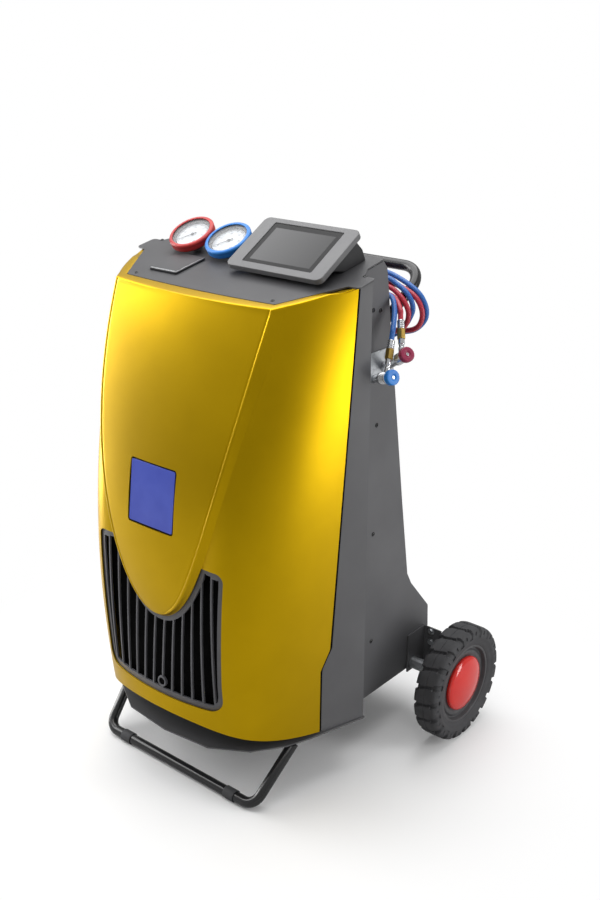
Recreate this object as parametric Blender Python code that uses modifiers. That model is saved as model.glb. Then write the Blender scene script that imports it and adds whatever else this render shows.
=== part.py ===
"""Air conditioning recharge station: a sheet-steel cabinet on two wheels and a tube foot.

The cabinet has a moulded front with a raised shield and a finned grille, a sloping
control plate with two gauges, a display and a printer, and two service hoses that hang
over the push handle and end in couplers. X is across the cabinet, -Y is its front and
+Z is up. All lengths are metres.
"""
import math

import bmesh
import bpy
import numpy as np
from mathutils import Matrix, Vector

# Clearances
SEAT_GAP = 0.0003
RUNNING_GAP = 0.0006
OVERRUN = 0.02

# Cabinet
FRONT_REACH = 0.3595
CABINET_HALF = 0.25
SHEET = 0.0015
FLOOR_PLATE = 0.003
FLOOR_Z = 0.1185
FLOOR_TOP_Z = FLOOR_Z + FLOOR_PLATE
SIDE_BOTTOM_Z = 0.136
UPSTAND_TOP_Z = 0.160
COLUMN_REAR_Y = -0.035

# Control plate: its top face passes through (0, PLATE_FRONT_Y, PLATE_FRONT_Z)
PLATE_SLOPE = math.radians(10.8)
PLATE_FRONT_Y = -0.200
PLATE_FRONT_Z = 1.0314
PLATE_THICK = 0.003
PLATE_FRONT_HALF = CABINET_HALF - 0.055
PLATE_CROWN = 0.006
PLATE_SHOULDER_X = CABINET_HALF + 0.018
PLATE_SHOULDER_Y = -0.082
EAR_X = CABINET_HALF + 0.0445
EAR_FRONT_Y = -0.080
EAR_REAR_Y = -0.031
PLATE_NOTCH_X = CABINET_HALF - 0.0005
PLATE_NOTCH_Y = 0.003
PLATE_REAR_Y = 0.056
PLATE_CORNER = 0.008

# Moulded front: skin between the skirt and the control plate
SKIN = 0.003
SKIRT_MID_Z = 0.1887
SKIRT_DROP = 0.0639
SKIN_TOP_Z = 1.030
SKIN_HALF_LOW = CABINET_HALF + 0.010
SKIN_HALF_HIGH = CABINET_HALF + 0.034
SKIN_REAR_LOW_Y = -0.138
SKIN_REAR_HIGH_Y = -0.066
SKIN_LEAN = 0.1557
REVEAL = 0.0055
RIM_DROP = 0.004
RIM_STEP_SHARE = 0.2
RIM_GAP = 0.0006
# Shape of the plan section at the bottom, middle and top of the skin
LEAN_SHARES = (0.0, 0.306, 1.0)
SECTION_SQUARE_SHARES = (0.523, -0.609, -1.58)
SECTION_FOURTH_SHARES = (-0.146, 1.018, 2.871)

# Raised shield on the moulded front
SHIELD_TIP_Z = 0.3984
SHIELD_TOP_Z = 1.0235
SHIELD_TIP_Y = -0.3454
SHIELD_TOP_HALF = CABINET_HALF - 0.043
SHIELD_SETBACK = 0.1261
SHIELD_BULGE_SHARE = 0.0716
SHIELD_WIDTH_SHARES = (1.3537, -0.7599, 1.0560, -0.6498)
SHIELD_SETBACK_SHARES = (-0.3434, 1.5401, -0.1967)
SHIELD_EDGE_LOW = 0.005
SHIELD_EDGE_GROWTH = 0.008
SHIELD_ROWS = 14
SHIELD_COLUMNS = 4
SKIRT_COLUMNS = 7
SKIRT_CORNER_ROW = 6
BORDER_SHARES = (0.0, 0.155, 0.203, 0.30, 0.44, 0.58, 0.72, 0.86, 1.0)

# Badge plate in the shield
BADGE_HALF = 0.060
BADGE_LOW_Z = 0.5882
BADGE_LOW_Y = -0.3475
BADGE_HIGH_Z = 0.7124
BADGE_HIGH_Y = -0.3309
BADGE_THICK = 0.0025
BADGE_CORNER = 0.004
BADGE_MARGIN = 0.0022
BADGE_MOUNT_FLANGE = 0.012
BADGE_MOUNT_THICK = 0.002
BADGE_MOUNT_SETBACK = 0.0052

# Grille
GRILLE_TOP_Z = 0.532
GRILLE_SHOULDER_X = 0.174
GRILLE_WAIST_X = 0.164
GRILLE_WAIST_Z = 0.285
GRILLE_BOTTOM_Z = 0.2215
GRILLE_CORNER = 0.006
GRILLE_SHOULDER_ROUND = 0.018
GRILLE_HEEL_ROUND = 0.045
GRILLE_LAP = 0.006
GRILLE_THICK = 0.004
GRILLE_SETBACK = 0.0050
GRILLE_RAIL = 0.016
GRILLE_BAR = 0.0048
GRILLE_PITCH = 0.0262
GRILLE_SLOTS = 13
GRILLE_RING_X = 0.0131
GRILLE_RING_Z = 0.2475
GRILLE_RING_R = 0.0135
GRILLE_RING_WALL = 0.0035
GRILLE_COLUMNS = 8
NOTCH_STEPS = 7
GRILLE_ROWS = 4

# Front columns
COLUMN_X = CABINET_HALF + 0.040
COLUMN_TAPER = 0.317
COLUMN_SHEET = 0.002
COLUMN_RETURN = 0.022
COLUMN_FOOT_Z = FLOOR_TOP_Z + SEAT_GAP
COLUMN_JOG_LOW_Z = 0.270
COLUMN_JOG_HIGH_Z = 0.312
COLUMN_FRONT_LOW_Y = -0.136
COLUMN_FRONT_JOG_Y = -0.112
COLUMN_FRONT_HIGH_Y = -0.061

# Floor lip under the columns
LIP_FRONT_X = CABINET_HALF + 0.005
LIP_FRONT_Y = -0.168
LIP_REAR_X = COLUMN_X + 0.003
FLOOR_FRONT_Y = -0.338

# Side panel profile, (y, z) from the top rear corner down to the wheels
SIDE_TOP_FRONT_Y = -0.100
SIDE_REAR = (
    (0.053, 1.0755), (0.065, 1.061), (0.075, 0.996), (0.086, 0.903), (0.102, 0.812),
    (0.141, 0.551), (0.171, 0.365), (0.187, 0.336), (0.258, 0.252), (0.261, 0.200),
    (0.251, 0.137),
)
REAR_INSET = 0.0018

# Louvres in the rear panel
LOUVRE_COUNT = 7
LOUVRE_HALF = 0.110
LOUVRE_HEIGHT = 0.007
LOUVRE_PITCH = 0.021
LOUVRE_LOW_Z = 0.430

# Axle and wheels
AXLE_Y = 0.200
AXLE_Z = 0.130
AXLE_RADIUS = 0.008
AXLE_HALF = CABINET_HALF + 0.1405
SLEEVE_RADIUS = 0.014
WHEEL_RADIUS = 0.130
WHEEL_X = AXLE_HALF - 0.019
TYRE_WIDTH = 0.060
TYRE_BEAD_RADIUS = 0.0870
TREAD_HALF = 0.021
SHOULDER_RADIUS = 0.1225
SIDEWALL_RADIUS = 0.108
TREAD_BLOCKS = 20
TREAD_DEPTH = 0.006
TREAD_BLOCK_SHARE = 0.68
TREAD_SLOPE_SHARE = 0.06
RIM_WIDTH = 0.046
RIM_FLANGE = 0.004
RIM_WALL = 0.003
WEB_LEVEL = 0.0145
WEB_THICK = 0.004
HUB_RADIUS = 0.021
HUB_INNER = 0.034
HUB_OUTER = 0.017
CAP_RADIUS = 0.0626
CAP_SIDE = 0.010
CAP_DOME = 0.0087
CAP_WALL = 0.0018
WHEEL_STEPS = 24

# Axle brackets behind the cabinet's lower corners
BRACKET_SHEET = 0.003
BRACKET_LEG = 0.066
BRACKET_LOW_Z = 0.112
BRACKET_HIGH_Z = 0.206
BRACKET_REAR_Y = 0.246
BRACKET_REACH = 0.048

# Push handle and foot stand
HANDLE_RADIUS = 0.011
HANDLE_BAR_Y = 0.200
HANDLE_BAR_Z = 1.036
HANDLE_HALF = CABINET_HALF
HANDLE_ROOT_HALF = CABINET_HALF - 0.025
HANDLE_BEND = 0.050
HANDLE_SLOPE = math.radians(36.0)
HANDLE_ARM = 0.235
HANDLE_CROSSING_SHARE = 0.42
FOOT_RADIUS = 0.011
FOOT_BAR_Y = -0.303
FOOT_HALF = CABINET_HALF - 0.0323
FOOT_TOP_HALF = CABINET_HALF - 0.0142
FOOT_TOP_Y = -0.1985
FOOT_BEND = 0.030
FOOT_SLEEVE_RADIUS = 0.013
FOOT_SLEEVE_LENGTH = 0.028
FOOT_SLEEVE_X = 0.155
BEND_STEPS = 6

# Gauges
GAUGE_TILT = math.radians(30.0)
GAUGE_Y = -0.050
GAUGE_Z = 1.0985
RED_GAUGE_X = -0.163
BLUE_GAUGE_X = -0.061
BOOT_RADIUS = 0.049
BOOT_DEPTH = 0.0180
BOOT_LIP = 0.0415
BOOT_ROUND = 0.0025
BOOT_BACK_HOLE = 0.033
CASE_RADIUS = 0.0445
CASE_WALL = 0.0017
CASE_DEPTH = 0.0155
DIAL_LEVEL = 0.010
DIAL_THICK = 0.0012
GLASS_LEVEL = 0.0034
GLASS_THICK = 0.0012
STEM_RADIUS = 0.0105
STEM_LENGTH = 0.058
STEM_HOLE = STEM_RADIUS + SEAT_GAP
NEEDLE_LENGTH = 0.030
NEEDLE_TAIL = 0.009
NEEDLE_WIDTH = 0.0022
NEEDLE_THICK = 0.0008
NEEDLE_LEVEL = 0.0078
NEEDLE_HUB = 0.0032
ARBOR_RADIUS = 0.0010
ARBOR_LENGTH = 0.0045
ARBOR_HOLE = 0.0015
NEEDLE_REST = math.radians(-135.0)
ROUND_STEPS = 22

# Display
DISPLAY_TILT = math.radians(30.5)
DISPLAY_X = 0.115
DISPLAY_Y = -0.058
DISPLAY_Z = 1.102
DISPLAY_WIDTH = 0.235
DISPLAY_HEIGHT = 0.145
DISPLAY_CORNER = 0.014
DISPLAY_THICK = 0.012
WINDOW_WIDTH = 0.171
WINDOW_HEIGHT = 0.115
WINDOW_OFFSET = 0.002
WINDOW_CORNER = 0.003
SCREEN_SETBACK = 0.0015
SCREEN_THICK = 0.003
SCREEN_FLOOR = 0.002
HOUSING_HALF = 0.105
HOUSING_LOW = 0.036
HOUSING_HIGH = 0.060
HOUSING_FRONT_Y = -0.030
HOUSING_REAR_Y = 0.036
HOUSING_SHOULDER_RISE = 0.022
HOUSING_SHOULDER_STEP = 0.010

# Printer
PRINTER_X = -0.1287
PRINTER_Y = -0.124
PRINTER_WIDTH = 0.0765
PRINTER_LENGTH = 0.086
PRINTER_CORNER = 0.005
LID_THICK = 0.003
LID_CORNER = 0.004
LID_KNUCKLE = 0.0026
LID_KNUCKLE_HALF = 0.020
PRINTER_WALL = 0.002
PRINTER_DEPTH = 0.056
PRINTER_RIM = 0.004
PRINTER_RIM_THICK = 0.0012
ROLL_RADIUS = 0.022
ROLL_CORE = 0.006
ROLL_HALF = 0.028

# Couplers: one hangs on each peg of the bracket
PORT_SHEET = 0.002
PORT_FRONT_Y = -0.030
PORT_REAR_Y = 0.092
PORT_LOW_Z = 0.846
PORT_HIGH_Z = 0.902
PORT_OFFSET = 0.0003
BLUE_KNOB = (CABINET_HALF + 0.085, -0.024, 0.8805)
BLUE_AXIS_SHARES = (0.90, -0.28, 0.30)
BLUE_STEM_SHARES = (-0.225, 0.511, 0.827)
RED_KNOB = (CABINET_HALF + 0.085, 0.020, 0.9160)
RED_AXIS_SHARES = (0.78, -0.36, 0.50)
RED_STEM_SHARES = (-0.38, 0.44, 0.814)
KNOB_RADIUS = 0.0150
KNOB_LENGTH = 0.0125
COUPLER_RADIUS = 0.0115
COUPLER_NECK = 0.0085
COUPLER_LENGTH = 0.055
COUPLER_TEE = 0.0125
TEE_RADIUS = 0.0062
TEE_LENGTH = 0.0255
NUT_ACROSS = 0.0150
NUT_LENGTH = 0.020
FERRULE_RADIUS = 0.0072
FERRULE_LENGTH = 0.018
SMALL_STEPS = 14

# Hoses: free lengths of soft hose. Each route is hand placed, outlet first
HOSE_RADIUS = 0.0052
HOSE_POINTS = 66
DENSE_STEPS = 24
BEND_WEIGHT = 0.120
BLUE_ROUTE = (
    (0.100, 0.1182, 0.845), (0.100, 0.135, 0.844), (0.085, 0.158, 0.852),
    (0.040, 0.170, 0.885), (-0.010, 0.164, 0.915), (-0.062, 0.154, 0.940),
    (-0.100, 0.145, 0.970), (-0.104, 0.140, 1.004), (-0.076, 0.138, 1.029),
    (-0.020, 0.137, 1.036), (0.060, 0.137, 1.034), (0.140, 0.137, 1.036),
    (0.197, 0.137, 1.033), (0.239, 0.137, 1.021), (0.270, 0.137, 1.006),
    (0.286, 0.137, 0.991), (0.295, 0.137, 0.971), (0.292, 0.137, 0.951),
    (0.273, 0.137, 0.930), (0.245, 0.136, 0.919), (0.190, 0.133, 0.910),
    (0.110, 0.130, 0.905), (0.020, 0.127, 0.908), (-0.045, 0.125, 0.924),
    (-0.080, 0.122, 0.950), (-0.089, 0.118, 0.981), (-0.066, 0.115, 1.008),
    (-0.010, 0.113, 1.019), (0.070, 0.113, 1.022), (0.150, 0.113, 1.028),
    (0.212, 0.113, 1.029), (0.240, 0.113, 1.019), (0.262, 0.113, 1.006),
    (0.275, 0.113, 0.991), (0.279, 0.113, 0.974), (0.272, 0.1125, 0.955),
    (0.262, 0.1125, 0.940), (0.244, 0.112, 0.921), (0.205, 0.1085, 0.906), (0.140, 0.100, 0.905),
    (0.095, 0.0915, 0.924), (0.078, 0.0865, 0.955), (0.098, 0.0845, 0.984),
    (0.145, 0.084, 0.999), (0.200, 0.084, 1.006), (0.232, 0.084, 1.004),
    (0.249, 0.0824, 1.001), (0.263, 0.0715, 0.991), (0.276, 0.056, 0.9765),
)
RED_ROUTE = (
    (0.160, 0.1184, 0.845), (0.160, 0.136, 0.843), (0.150, 0.164, 0.852),
    (0.110, 0.186, 0.875), (0.050, 0.190, 0.900), (-0.020, 0.180, 0.925),
    (-0.085, 0.163, 0.950), (-0.123, 0.146, 0.980), (-0.121, 0.130, 1.010),
    (-0.088, 0.125, 1.023), (-0.010, 0.125, 1.024), (0.070, 0.125, 1.023),
    (0.150, 0.125, 1.022), (0.210, 0.125, 1.018), (0.253, 0.125, 1.008),
    (0.277, 0.1245, 0.996), (0.291, 0.124, 0.978), (0.294, 0.124, 0.958),
    (0.284, 0.124, 0.938), (0.258, 0.1242, 0.9265), (0.205, 0.1225, 0.921),
    (0.120, 0.118, 0.918), (0.030, 0.115, 0.922), (-0.035, 0.113, 0.936),
    (-0.068, 0.110, 0.958), (-0.072, 0.106, 0.982), (-0.050, 0.103, 0.999),
    (0.010, 0.101, 1.006), (0.090, 0.101, 1.010), (0.160, 0.101, 1.015),
    (0.222, 0.1035, 1.0145), (0.249, 0.1035, 1.0035), (0.267, 0.102, 0.989),
    (0.277, 0.101, 0.971), (0.275, 0.101, 0.952), (0.262, 0.101, 0.935),
    (0.238, 0.1005, 0.926), (0.200, 0.099, 0.922), (0.155, 0.097, 0.926),
    (0.124, 0.0955, 0.945), (0.122, 0.095, 0.970), (0.145, 0.0955, 0.991),
    (0.190, 0.0960, 1.002), (0.228, 0.0955, 1.001), (0.253, 0.0915, 0.995),
)
OUTLET_Z = 0.845
BLUE_OUTLET_X = 0.100
RED_OUTLET_X = 0.160
OUTLET_RADIUS = 0.0085
OUTLET_END_Y = 0.118
HOOK_X = -0.048
HOOK_Z = 0.966
HOOK_RADIUS = 0.004
HOOK_REACH_Y = 0.165

# Mains inlet and switch, low on the rear panel's slope
MAINS_X = -0.120
MAINS_Z = 0.295
MAINS_WIDTH = 0.062
MAINS_HEIGHT = 0.030
MAINS_RIM = 0.008
SOCKET_X = -0.133
SOCKET_WIDTH = 0.025
SOCKET_HEIGHT = 0.018
SOCKET_DEPTH = 0.018
SWITCH_X = -0.103
SWITCH_WIDTH = 0.020
SWITCH_HEIGHT = 0.015
SWITCH_DEPTH = 0.010

# Parts inside
TANK_X = 0.095
TANK_Y = -0.080
TANK_RADIUS = 0.080
TANK_HEIGHT = 0.300
TANK_DOME = 0.040
TANK_FOOT = 0.018
SCALE_SIZE = 0.180
SCALE_THICK = 0.014
SCALE_FOOT = 0.008
PUMP_X = -0.130
PUMP_Y = -0.130
PUMP_RADIUS = 0.045
PUMP_LENGTH = 0.150
PUMP_FOOT_Z = 0.012
CONDENSER_HALF = 0.110
CONDENSER_HIGH_Z = 0.430
CONDENSER_Y = -0.268
CONDENSER_DEPTH = 0.030
CONDENSER_FINS = 14
FAN_RADIUS = 0.085
FAN_Z = 0.280
FAN_BLADES = 5
FAN_BLADE_THICK = 0.002
FAN_HUB = 0.022
FAN_TWIST = math.radians(32.0)
SHROUD_SHEET = 0.002
MOTOR_RADIUS = 0.024
MOTOR_LENGTH = 0.034
MANIFOLD_X = -0.060
MANIFOLD_Z = 0.720
MANIFOLD_WIDTH = 0.240
MANIFOLD_HEIGHT = 0.045
MANIFOLD_DEPTH = 0.040
SOLENOID_COUNT = 5
SOLENOID_RADIUS = 0.014
SOLENOID_HEIGHT = 0.034



# Materials
def material(name, colour, roughness, metallic=0.0):
    """A Principled material from a linear colour, a roughness and a metallic value."""
    made = bpy.data.materials.new(name)
    made.use_nodes = True
    shader = made.node_tree.nodes["Principled BSDF"]
    shader.inputs["Base Color"].default_value = (*colour, 1.0)
    shader.inputs["Roughness"].default_value = roughness
    shader.inputs["Metallic"].default_value = metallic
    made.diffuse_color = (*colour, 1.0)
    return made


# Small tools for building pieces
def axes(origin, x_axis, y_axis):
    """A placement whose X and Y follow the two directions given; Z is their cross product."""
    x_dir = Vector(x_axis).normalized()
    z_dir = x_dir.cross(Vector(y_axis)).normalized()
    y_dir = z_dir.cross(x_dir)
    turn = Matrix((x_dir, y_dir, z_dir)).transposed().to_4x4()
    return Matrix.Translation(Vector(origin)) @ turn


def along(origin, direction):
    """A placement whose Z follows a direction."""
    z_dir = Vector(direction).normalized()
    side = Vector((0, 0, 1)) if abs(z_dir.z) < abs(z_dir.x) + abs(z_dir.y) else Vector((1, 0, 0))
    x_dir = side.cross(z_dir)
    return axes(origin, x_dir, z_dir.cross(x_dir))


def side_on(x):
    """A placement in a plane across X: its X runs along +Y and its Y upwards."""
    return axes((x, 0, 0), (0, 1, 0), (0, 0, 1))


def face_on(y):
    """A placement in a plane across Y: its X runs along +X, its Y upwards, its Z to the front."""
    return axes((0, y, 0), (1, 0, 0), (0, 0, 1))


def level_at(z):
    """A horizontal placement at height z."""
    return Matrix.Translation((0, 0, z))


def plate_top(y):
    """Height of the control plate's top face at a depth y."""
    return PLATE_FRONT_Z + math.tan(PLATE_SLOPE) * (y - PLATE_FRONT_Y)


def plate_at(x, y, lift=0.0):
    """A placement on the control plate's top face, lifted along its normal."""
    up = Vector((0, -math.sin(PLATE_SLOPE), math.cos(PLATE_SLOPE)))
    origin = Vector((x, y, plate_top(y))) + up * lift
    return axes(origin, (1, 0, 0), (0, math.cos(PLATE_SLOPE), math.sin(PLATE_SLOPE)))


def link(name, mesh, group, placement=None, parent=None):
    """Adds a mesh as a named object to a collection, under the station's root or a pivot."""
    obj = bpy.data.objects.new(name, mesh)
    group.objects.link(obj)
    obj.parent = parent or STATION
    if placement is not None:
        obj.matrix_local = placement
    if group is CUTTERS:
        obj.hide_render = True
        obj.display_type = "WIRE"
    return obj


def pivot_at(name, placement):
    """An empty on a joint's axis that carries the moving pieces."""
    pivot = bpy.data.objects.new(name, None)
    PARTS.objects.link(pivot)
    pivot.parent = STATION
    pivot.matrix_local = placement
    return pivot


def dress(obj, coat, smooth=math.radians(35.0)):
    """Gives a piece its material and shades its round faces smooth."""
    obj.data.materials.clear()
    obj.data.materials.append(coat)
    if len(obj.data.polygons):
        obj.data.shade_smooth()
        obj.data.set_sharp_from_angle(angle=smooth)
    return obj


def fillet(points, radii, steps=4, closed=True):
    """Rounds the corners of a path of 2D or 3D points, each with its own radius."""
    path = [Vector((*p, 0.0)[:3]) for p in points]
    count = len(path)
    if not hasattr(radii, "__len__"):
        radii = [radii] * count
    rounded = []
    for i, corner in enumerate(path):
        if radii[i] <= 0 or (not closed and i in (0, count - 1)):
            rounded.append(corner)
            continue
        back = (path[i - 1] - corner).normalized()
        ahead = (path[(i + 1) % count] - corner).normalized()
        half = back.angle(ahead) / 2
        reach = radii[i] / math.tan(half)
        middle = (back + ahead).normalized()
        centre = corner + middle * (radii[i] / math.sin(half))
        start = corner + back * reach - centre
        end = corner + ahead * reach - centre
        sweep = start.angle(end)
        for k in range(steps + 1):
            share = k / steps
            blend = (start * math.sin((1 - share) * sweep) + end * math.sin(share * sweep))
            rounded.append(centre + blend / math.sin(sweep))
    return rounded


def mirrored(half):
    """A closed outline from its right half, listed from the centre line round to it again."""
    left = [(-p[0], p[1]) for p in reversed(half) if abs(p[0]) > 0]
    return [(p[0], p[1]) for p in half] + left


def rectangle(width, height):
    """The four corners of a centred rectangle."""
    return [(-width / 2, -height / 2), (width / 2, -height / 2),
            (width / 2, height / 2), (-width / 2, height / 2)]


def circle(radius, steps, x=0.0, y=0.0):
    """The points of a circle."""
    return [(x + radius * math.cos(math.tau * i / steps), y + radius * math.sin(math.tau * i / steps))
            for i in range(steps)]


def curve_mesh(curve, name):
    """Turns a curve into a closed mesh with its caps welded on."""
    holder = bpy.data.objects.new(name, curve)
    bpy.context.scene.collection.objects.link(holder)
    graph = bpy.context.evaluated_depsgraph_get()
    mesh = bpy.data.meshes.new_from_object(holder.evaluated_get(graph))
    bpy.data.objects.remove(holder, do_unlink=True)
    shape = bmesh.new()
    shape.from_mesh(mesh)
    bmesh.ops.remove_doubles(shape, verts=shape.verts, dist=SEAT_GAP / 10)
    bmesh.ops.recalc_face_normals(shape, faces=shape.faces)
    shape.to_mesh(mesh)
    shape.free()
    return mesh


def outline_mesh(name, outlines, thickness):
    """A flat piece from one outer outline and any holes, its thickness centred on its plane."""
    curve = bpy.data.curves.new(name, "CURVE")
    curve.dimensions = "2D"
    curve.fill_mode = "BOTH"
    curve.extrude = thickness / 2
    for outline in outlines:
        spline = curve.splines.new("POLY")
        spline.points.add(len(outline) - 1)
        for point, place in zip(spline.points, outline):
            point.co = (place[0], place[1], 0.0, 1.0)
        spline.use_cyclic_u = True
    return curve_mesh(curve, name)


def flat_piece(name, outlines, thickness, placement, coat, parent=None):
    """A named flat piece cut from sheet or block."""
    mesh = outline_mesh(name, outlines, thickness)
    return dress(link(name, mesh, PARTS, placement, parent), coat)


def tube_mesh(name, points, radius, resolution):
    """A solid round bar along a path of points."""
    curve = bpy.data.curves.new(name, "CURVE")
    curve.dimensions = "3D"
    curve.bevel_depth = radius
    curve.bevel_resolution = resolution
    curve.use_fill_caps = True
    spline = curve.splines.new("POLY")
    spline.points.add(len(points) - 1)
    for point, place in zip(spline.points, points):
        point.co = (*place, 1.0)
    return curve_mesh(curve, name)


def tube_piece(name, points, radius, coat, resolution=3, parent=None):
    """A named tube, rail or hose."""
    mesh = tube_mesh(name, points, radius, resolution)
    return dress(link(name, mesh, PARTS, None, parent), coat)


def profile_mesh(name, profile, ring):
    """The edge chain of a turned shape, radius along X and height along Z."""
    count = len(profile)
    edges = [(i, i + 1) for i in range(count - 1)]
    if ring:
        edges.append((count - 1, 0))
    mesh = bpy.data.meshes.new(name)
    mesh.from_pydata([(r, 0.0, h) for r, h in profile], edges, [])
    return mesh


def turn(obj, steps):
    """Spins an object's profile about its Z axis."""
    screw = obj.modifiers.new("turned", "SCREW")
    screw.axis = "Z"
    screw.angle = math.tau
    screw.steps = steps
    screw.render_steps = steps
    screw.use_merge_vertices = True
    screw.merge_threshold = SEAT_GAP / 30
    screw.use_normal_calculate = False
    screw.use_smooth_shade = True
    return obj


def turned_piece(name, profile, placement, coat, ring=False, steps=ROUND_STEPS, parent=None):
    """A named piece turned from a profile, listed down its outer side first."""
    obj = link(name, profile_mesh(name, profile, ring), PARTS, placement, parent)
    obj.data.materials.append(coat)
    return turn(obj, steps)


def box_mesh(name, low, high):
    """A block between two opposite corners."""
    shape = bmesh.new()
    bmesh.ops.create_cube(shape, size=1.0)
    size = Vector(high) - Vector(low)
    bmesh.ops.scale(shape, vec=size, verts=shape.verts)
    bmesh.ops.translate(shape, vec=(Vector(high) + Vector(low)) / 2, verts=shape.verts)
    mesh = bpy.data.meshes.new(name)
    shape.to_mesh(mesh)
    shape.free()
    return mesh


def rod_mesh(name, radius, low, high, steps=ROUND_STEPS):
    """A cylinder along Z between two levels."""
    shape = bmesh.new()
    bmesh.ops.create_cone(shape, cap_ends=True, segments=steps, radius1=radius, radius2=radius,
                          depth=high - low)
    bmesh.ops.translate(shape, vec=(0, 0, (high + low) / 2), verts=shape.verts)
    mesh = bpy.data.meshes.new(name)
    shape.to_mesh(mesh)
    shape.free()
    return mesh


def shape_with(obj, mesh, placement=None, operation="DIFFERENCE"):
    """Cuts a tool mesh out of a piece, joins it on, or keeps only what both share."""
    tool = link(obj.name + "_tool", mesh, CUTTERS, placement)
    change = obj.modifiers.new(operation.lower(), "BOOLEAN")
    change.operation = operation
    change.object = tool
    change.solver = "EXACT"
    return tool


def grid_mesh(name, rows):
    """A skin through rows of points; rows that meet in one point are welded there."""
    shape = bmesh.new()
    lines = [[shape.verts.new(point) for point in row] for row in rows]
    for low, high in zip(lines, lines[1:]):
        for i in range(len(low) - 1):
            shape.faces.new((low[i], low[i + 1], high[i + 1], high[i]))
    bmesh.ops.remove_doubles(shape, verts=shape.verts, dist=SEAT_GAP / 10)
    bmesh.ops.recalc_face_normals(shape, faces=shape.faces)
    mesh = bpy.data.meshes.new(name)
    shape.to_mesh(mesh)
    shape.free()
    return mesh


def face_outward(mesh, outward):
    """Flips a skin whose faces look away from a direction."""
    total = Vector((0, 0, 0))
    for polygon in mesh.polygons:
        total += polygon.normal * polygon.area
    if total.dot(Vector(outward)) < 0:
        mesh.flip_normals()
    return mesh


def thicken(obj, thickness, offset=-1.0):
    """Gives a skin its wall, inwards unless told otherwise."""
    wall = obj.modifiers.new("wall", "SOLIDIFY")
    wall.thickness = thickness
    wall.offset = offset
    wall.use_even_offset = True
    wall.use_quality_normals = True
    return wall


def smooth_route(places, count):
    """Points on a smooth curve through a cord's places, closer together where it bends.

    The first and last legs stay straight, so the cord's ends face their fittings squarely.
    """
    nodes = np.array(places, dtype=float)
    dense = []
    for i in range(1, len(nodes) - 2):
        p0, p1, p2, p3 = nodes[i - 1:i + 3]
        t = np.linspace(0, 1, DENSE_STEPS, endpoint=False)[:, None]
        dense.append(0.5 * (2 * p1 + (p2 - p0) * t + (2 * p0 - 5 * p1 + 4 * p2 - p3) * t ** 2
                            + (3 * p1 - p0 - 3 * p2 + p3) * t ** 3))
    dense = np.vstack(dense + [nodes[-2:-1]])
    legs = np.diff(dense, axis=0)
    lengths = np.linalg.norm(legs, axis=1)
    heading = legs / lengths[:, None]
    swing = np.concatenate([[0], np.linalg.norm(np.diff(heading, axis=0), axis=1)])
    weight = np.concatenate([[0], np.cumsum(lengths + BEND_WEIGHT * swing)])
    stations = np.linspace(0, weight[-1], count - 2)
    middle = np.column_stack([np.interp(stations, weight, dense[:, k]) for k in range(3)])
    return np.vstack([nodes[:1], middle, nodes[-1:]])


def through_three(shares, level):
    """The parabola through three shares, given at levels 0, a half and 1."""
    low, middle, high = shares
    return (low * (2 * level - 1) * (level - 1) + middle * 4 * level * (1 - level)
            + high * level * (2 * level - 1))


# The moulded front's surfaces
def skin_level(z):
    """0 at the skirt's corner, 1 at the top of the skin."""
    low = SKIRT_MID_Z - SKIRT_DROP
    return (z - low) / (SKIN_TOP_Z - low)


def skin_half(z):
    """Half the width of the skin at a height."""
    return SKIN_HALF_LOW + (SKIN_HALF_HIGH - SKIN_HALF_LOW) * skin_level(z)


def skin_depth(share, z):
    """Depth of the skin at a share of its half width, from an even polynomial section."""
    level = skin_level(z)
    front = SKIN_LEAN * through_three(LEAN_SHARES, level) - FRONT_REACH
    rear = SKIN_REAR_LOW_Y + (SKIN_REAR_HIGH_Y - SKIN_REAR_LOW_Y) * level
    square = through_three(SECTION_SQUARE_SHARES, level)
    fourth = through_three(SECTION_FOURTH_SHARES, level)
    eighth = 1 - square - fourth
    return front + (rear - front) * (square * share ** 2 + fourth * share ** 4 + eighth * share ** 8)


def skin_point(share, z):
    """A point of the skin."""
    return Vector((share * skin_half(z), skin_depth(share, z), z))


def skin_inner(x, z, setback):
    """A point behind the skin, set back from it along its normal in plan and height."""
    step = SKIN
    share = x / skin_half(z)
    here = skin_point(share, z)
    across = skin_point(share + step, z) - here
    upward = skin_point(share, z + step) - here
    inward = across.cross(upward).normalized()
    if inward.y < 0:
        inward.negate()
    return here + inward * setback


def skirt_bottom(share):
    """Height of the skirt's lower edge: it arches up to the middle."""
    return SKIRT_MID_Z - SKIRT_DROP * (0.623 * share ** 2 + 0.377 * share ** 4)


def skin_top(share):
    """Height of the skin's upper edge, which follows the control plate."""
    z = SKIN_TOP_Z
    for _ in range(3):
        z = plate_top(skin_depth(share, z)) - RIM_DROP
    return z


def shield_edge(s):
    """A point on the shield's ridge, from its tip (0) to the top corner (1)."""
    width = sum(k * s ** (i + 1) for i, k in enumerate(SHIELD_WIDTH_SHARES))
    setback = sum(k * s ** (2 * i + 2) for i, k in enumerate(SHIELD_SETBACK_SHARES))
    z = SHIELD_TIP_Z + (SHIELD_TOP_Z - SHIELD_TIP_Z) * s ** 2
    return Vector((SHIELD_TOP_HALF * width, SHIELD_TIP_Y + SHIELD_SETBACK * setback, z))


def shield_foot(s):
    """Where the ridge's bevel meets the skin: its share of the half width and its height."""
    if s > 0:
        tangent = shield_edge(s + SKIN) - shield_edge(s - SKIN)
    else:
        tangent = Vector((1, 0, 0))
    away = Vector((tangent.z, 0, -tangent.x)).normalized()
    if s >= 1:
        away = Vector((1, 0, 0))
    place = shield_edge(s) + away * (SHIELD_EDGE_LOW + SHIELD_EDGE_GROWTH * s)
    return max(place.x, 0.0) / skin_half(place.z), place.z


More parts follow.
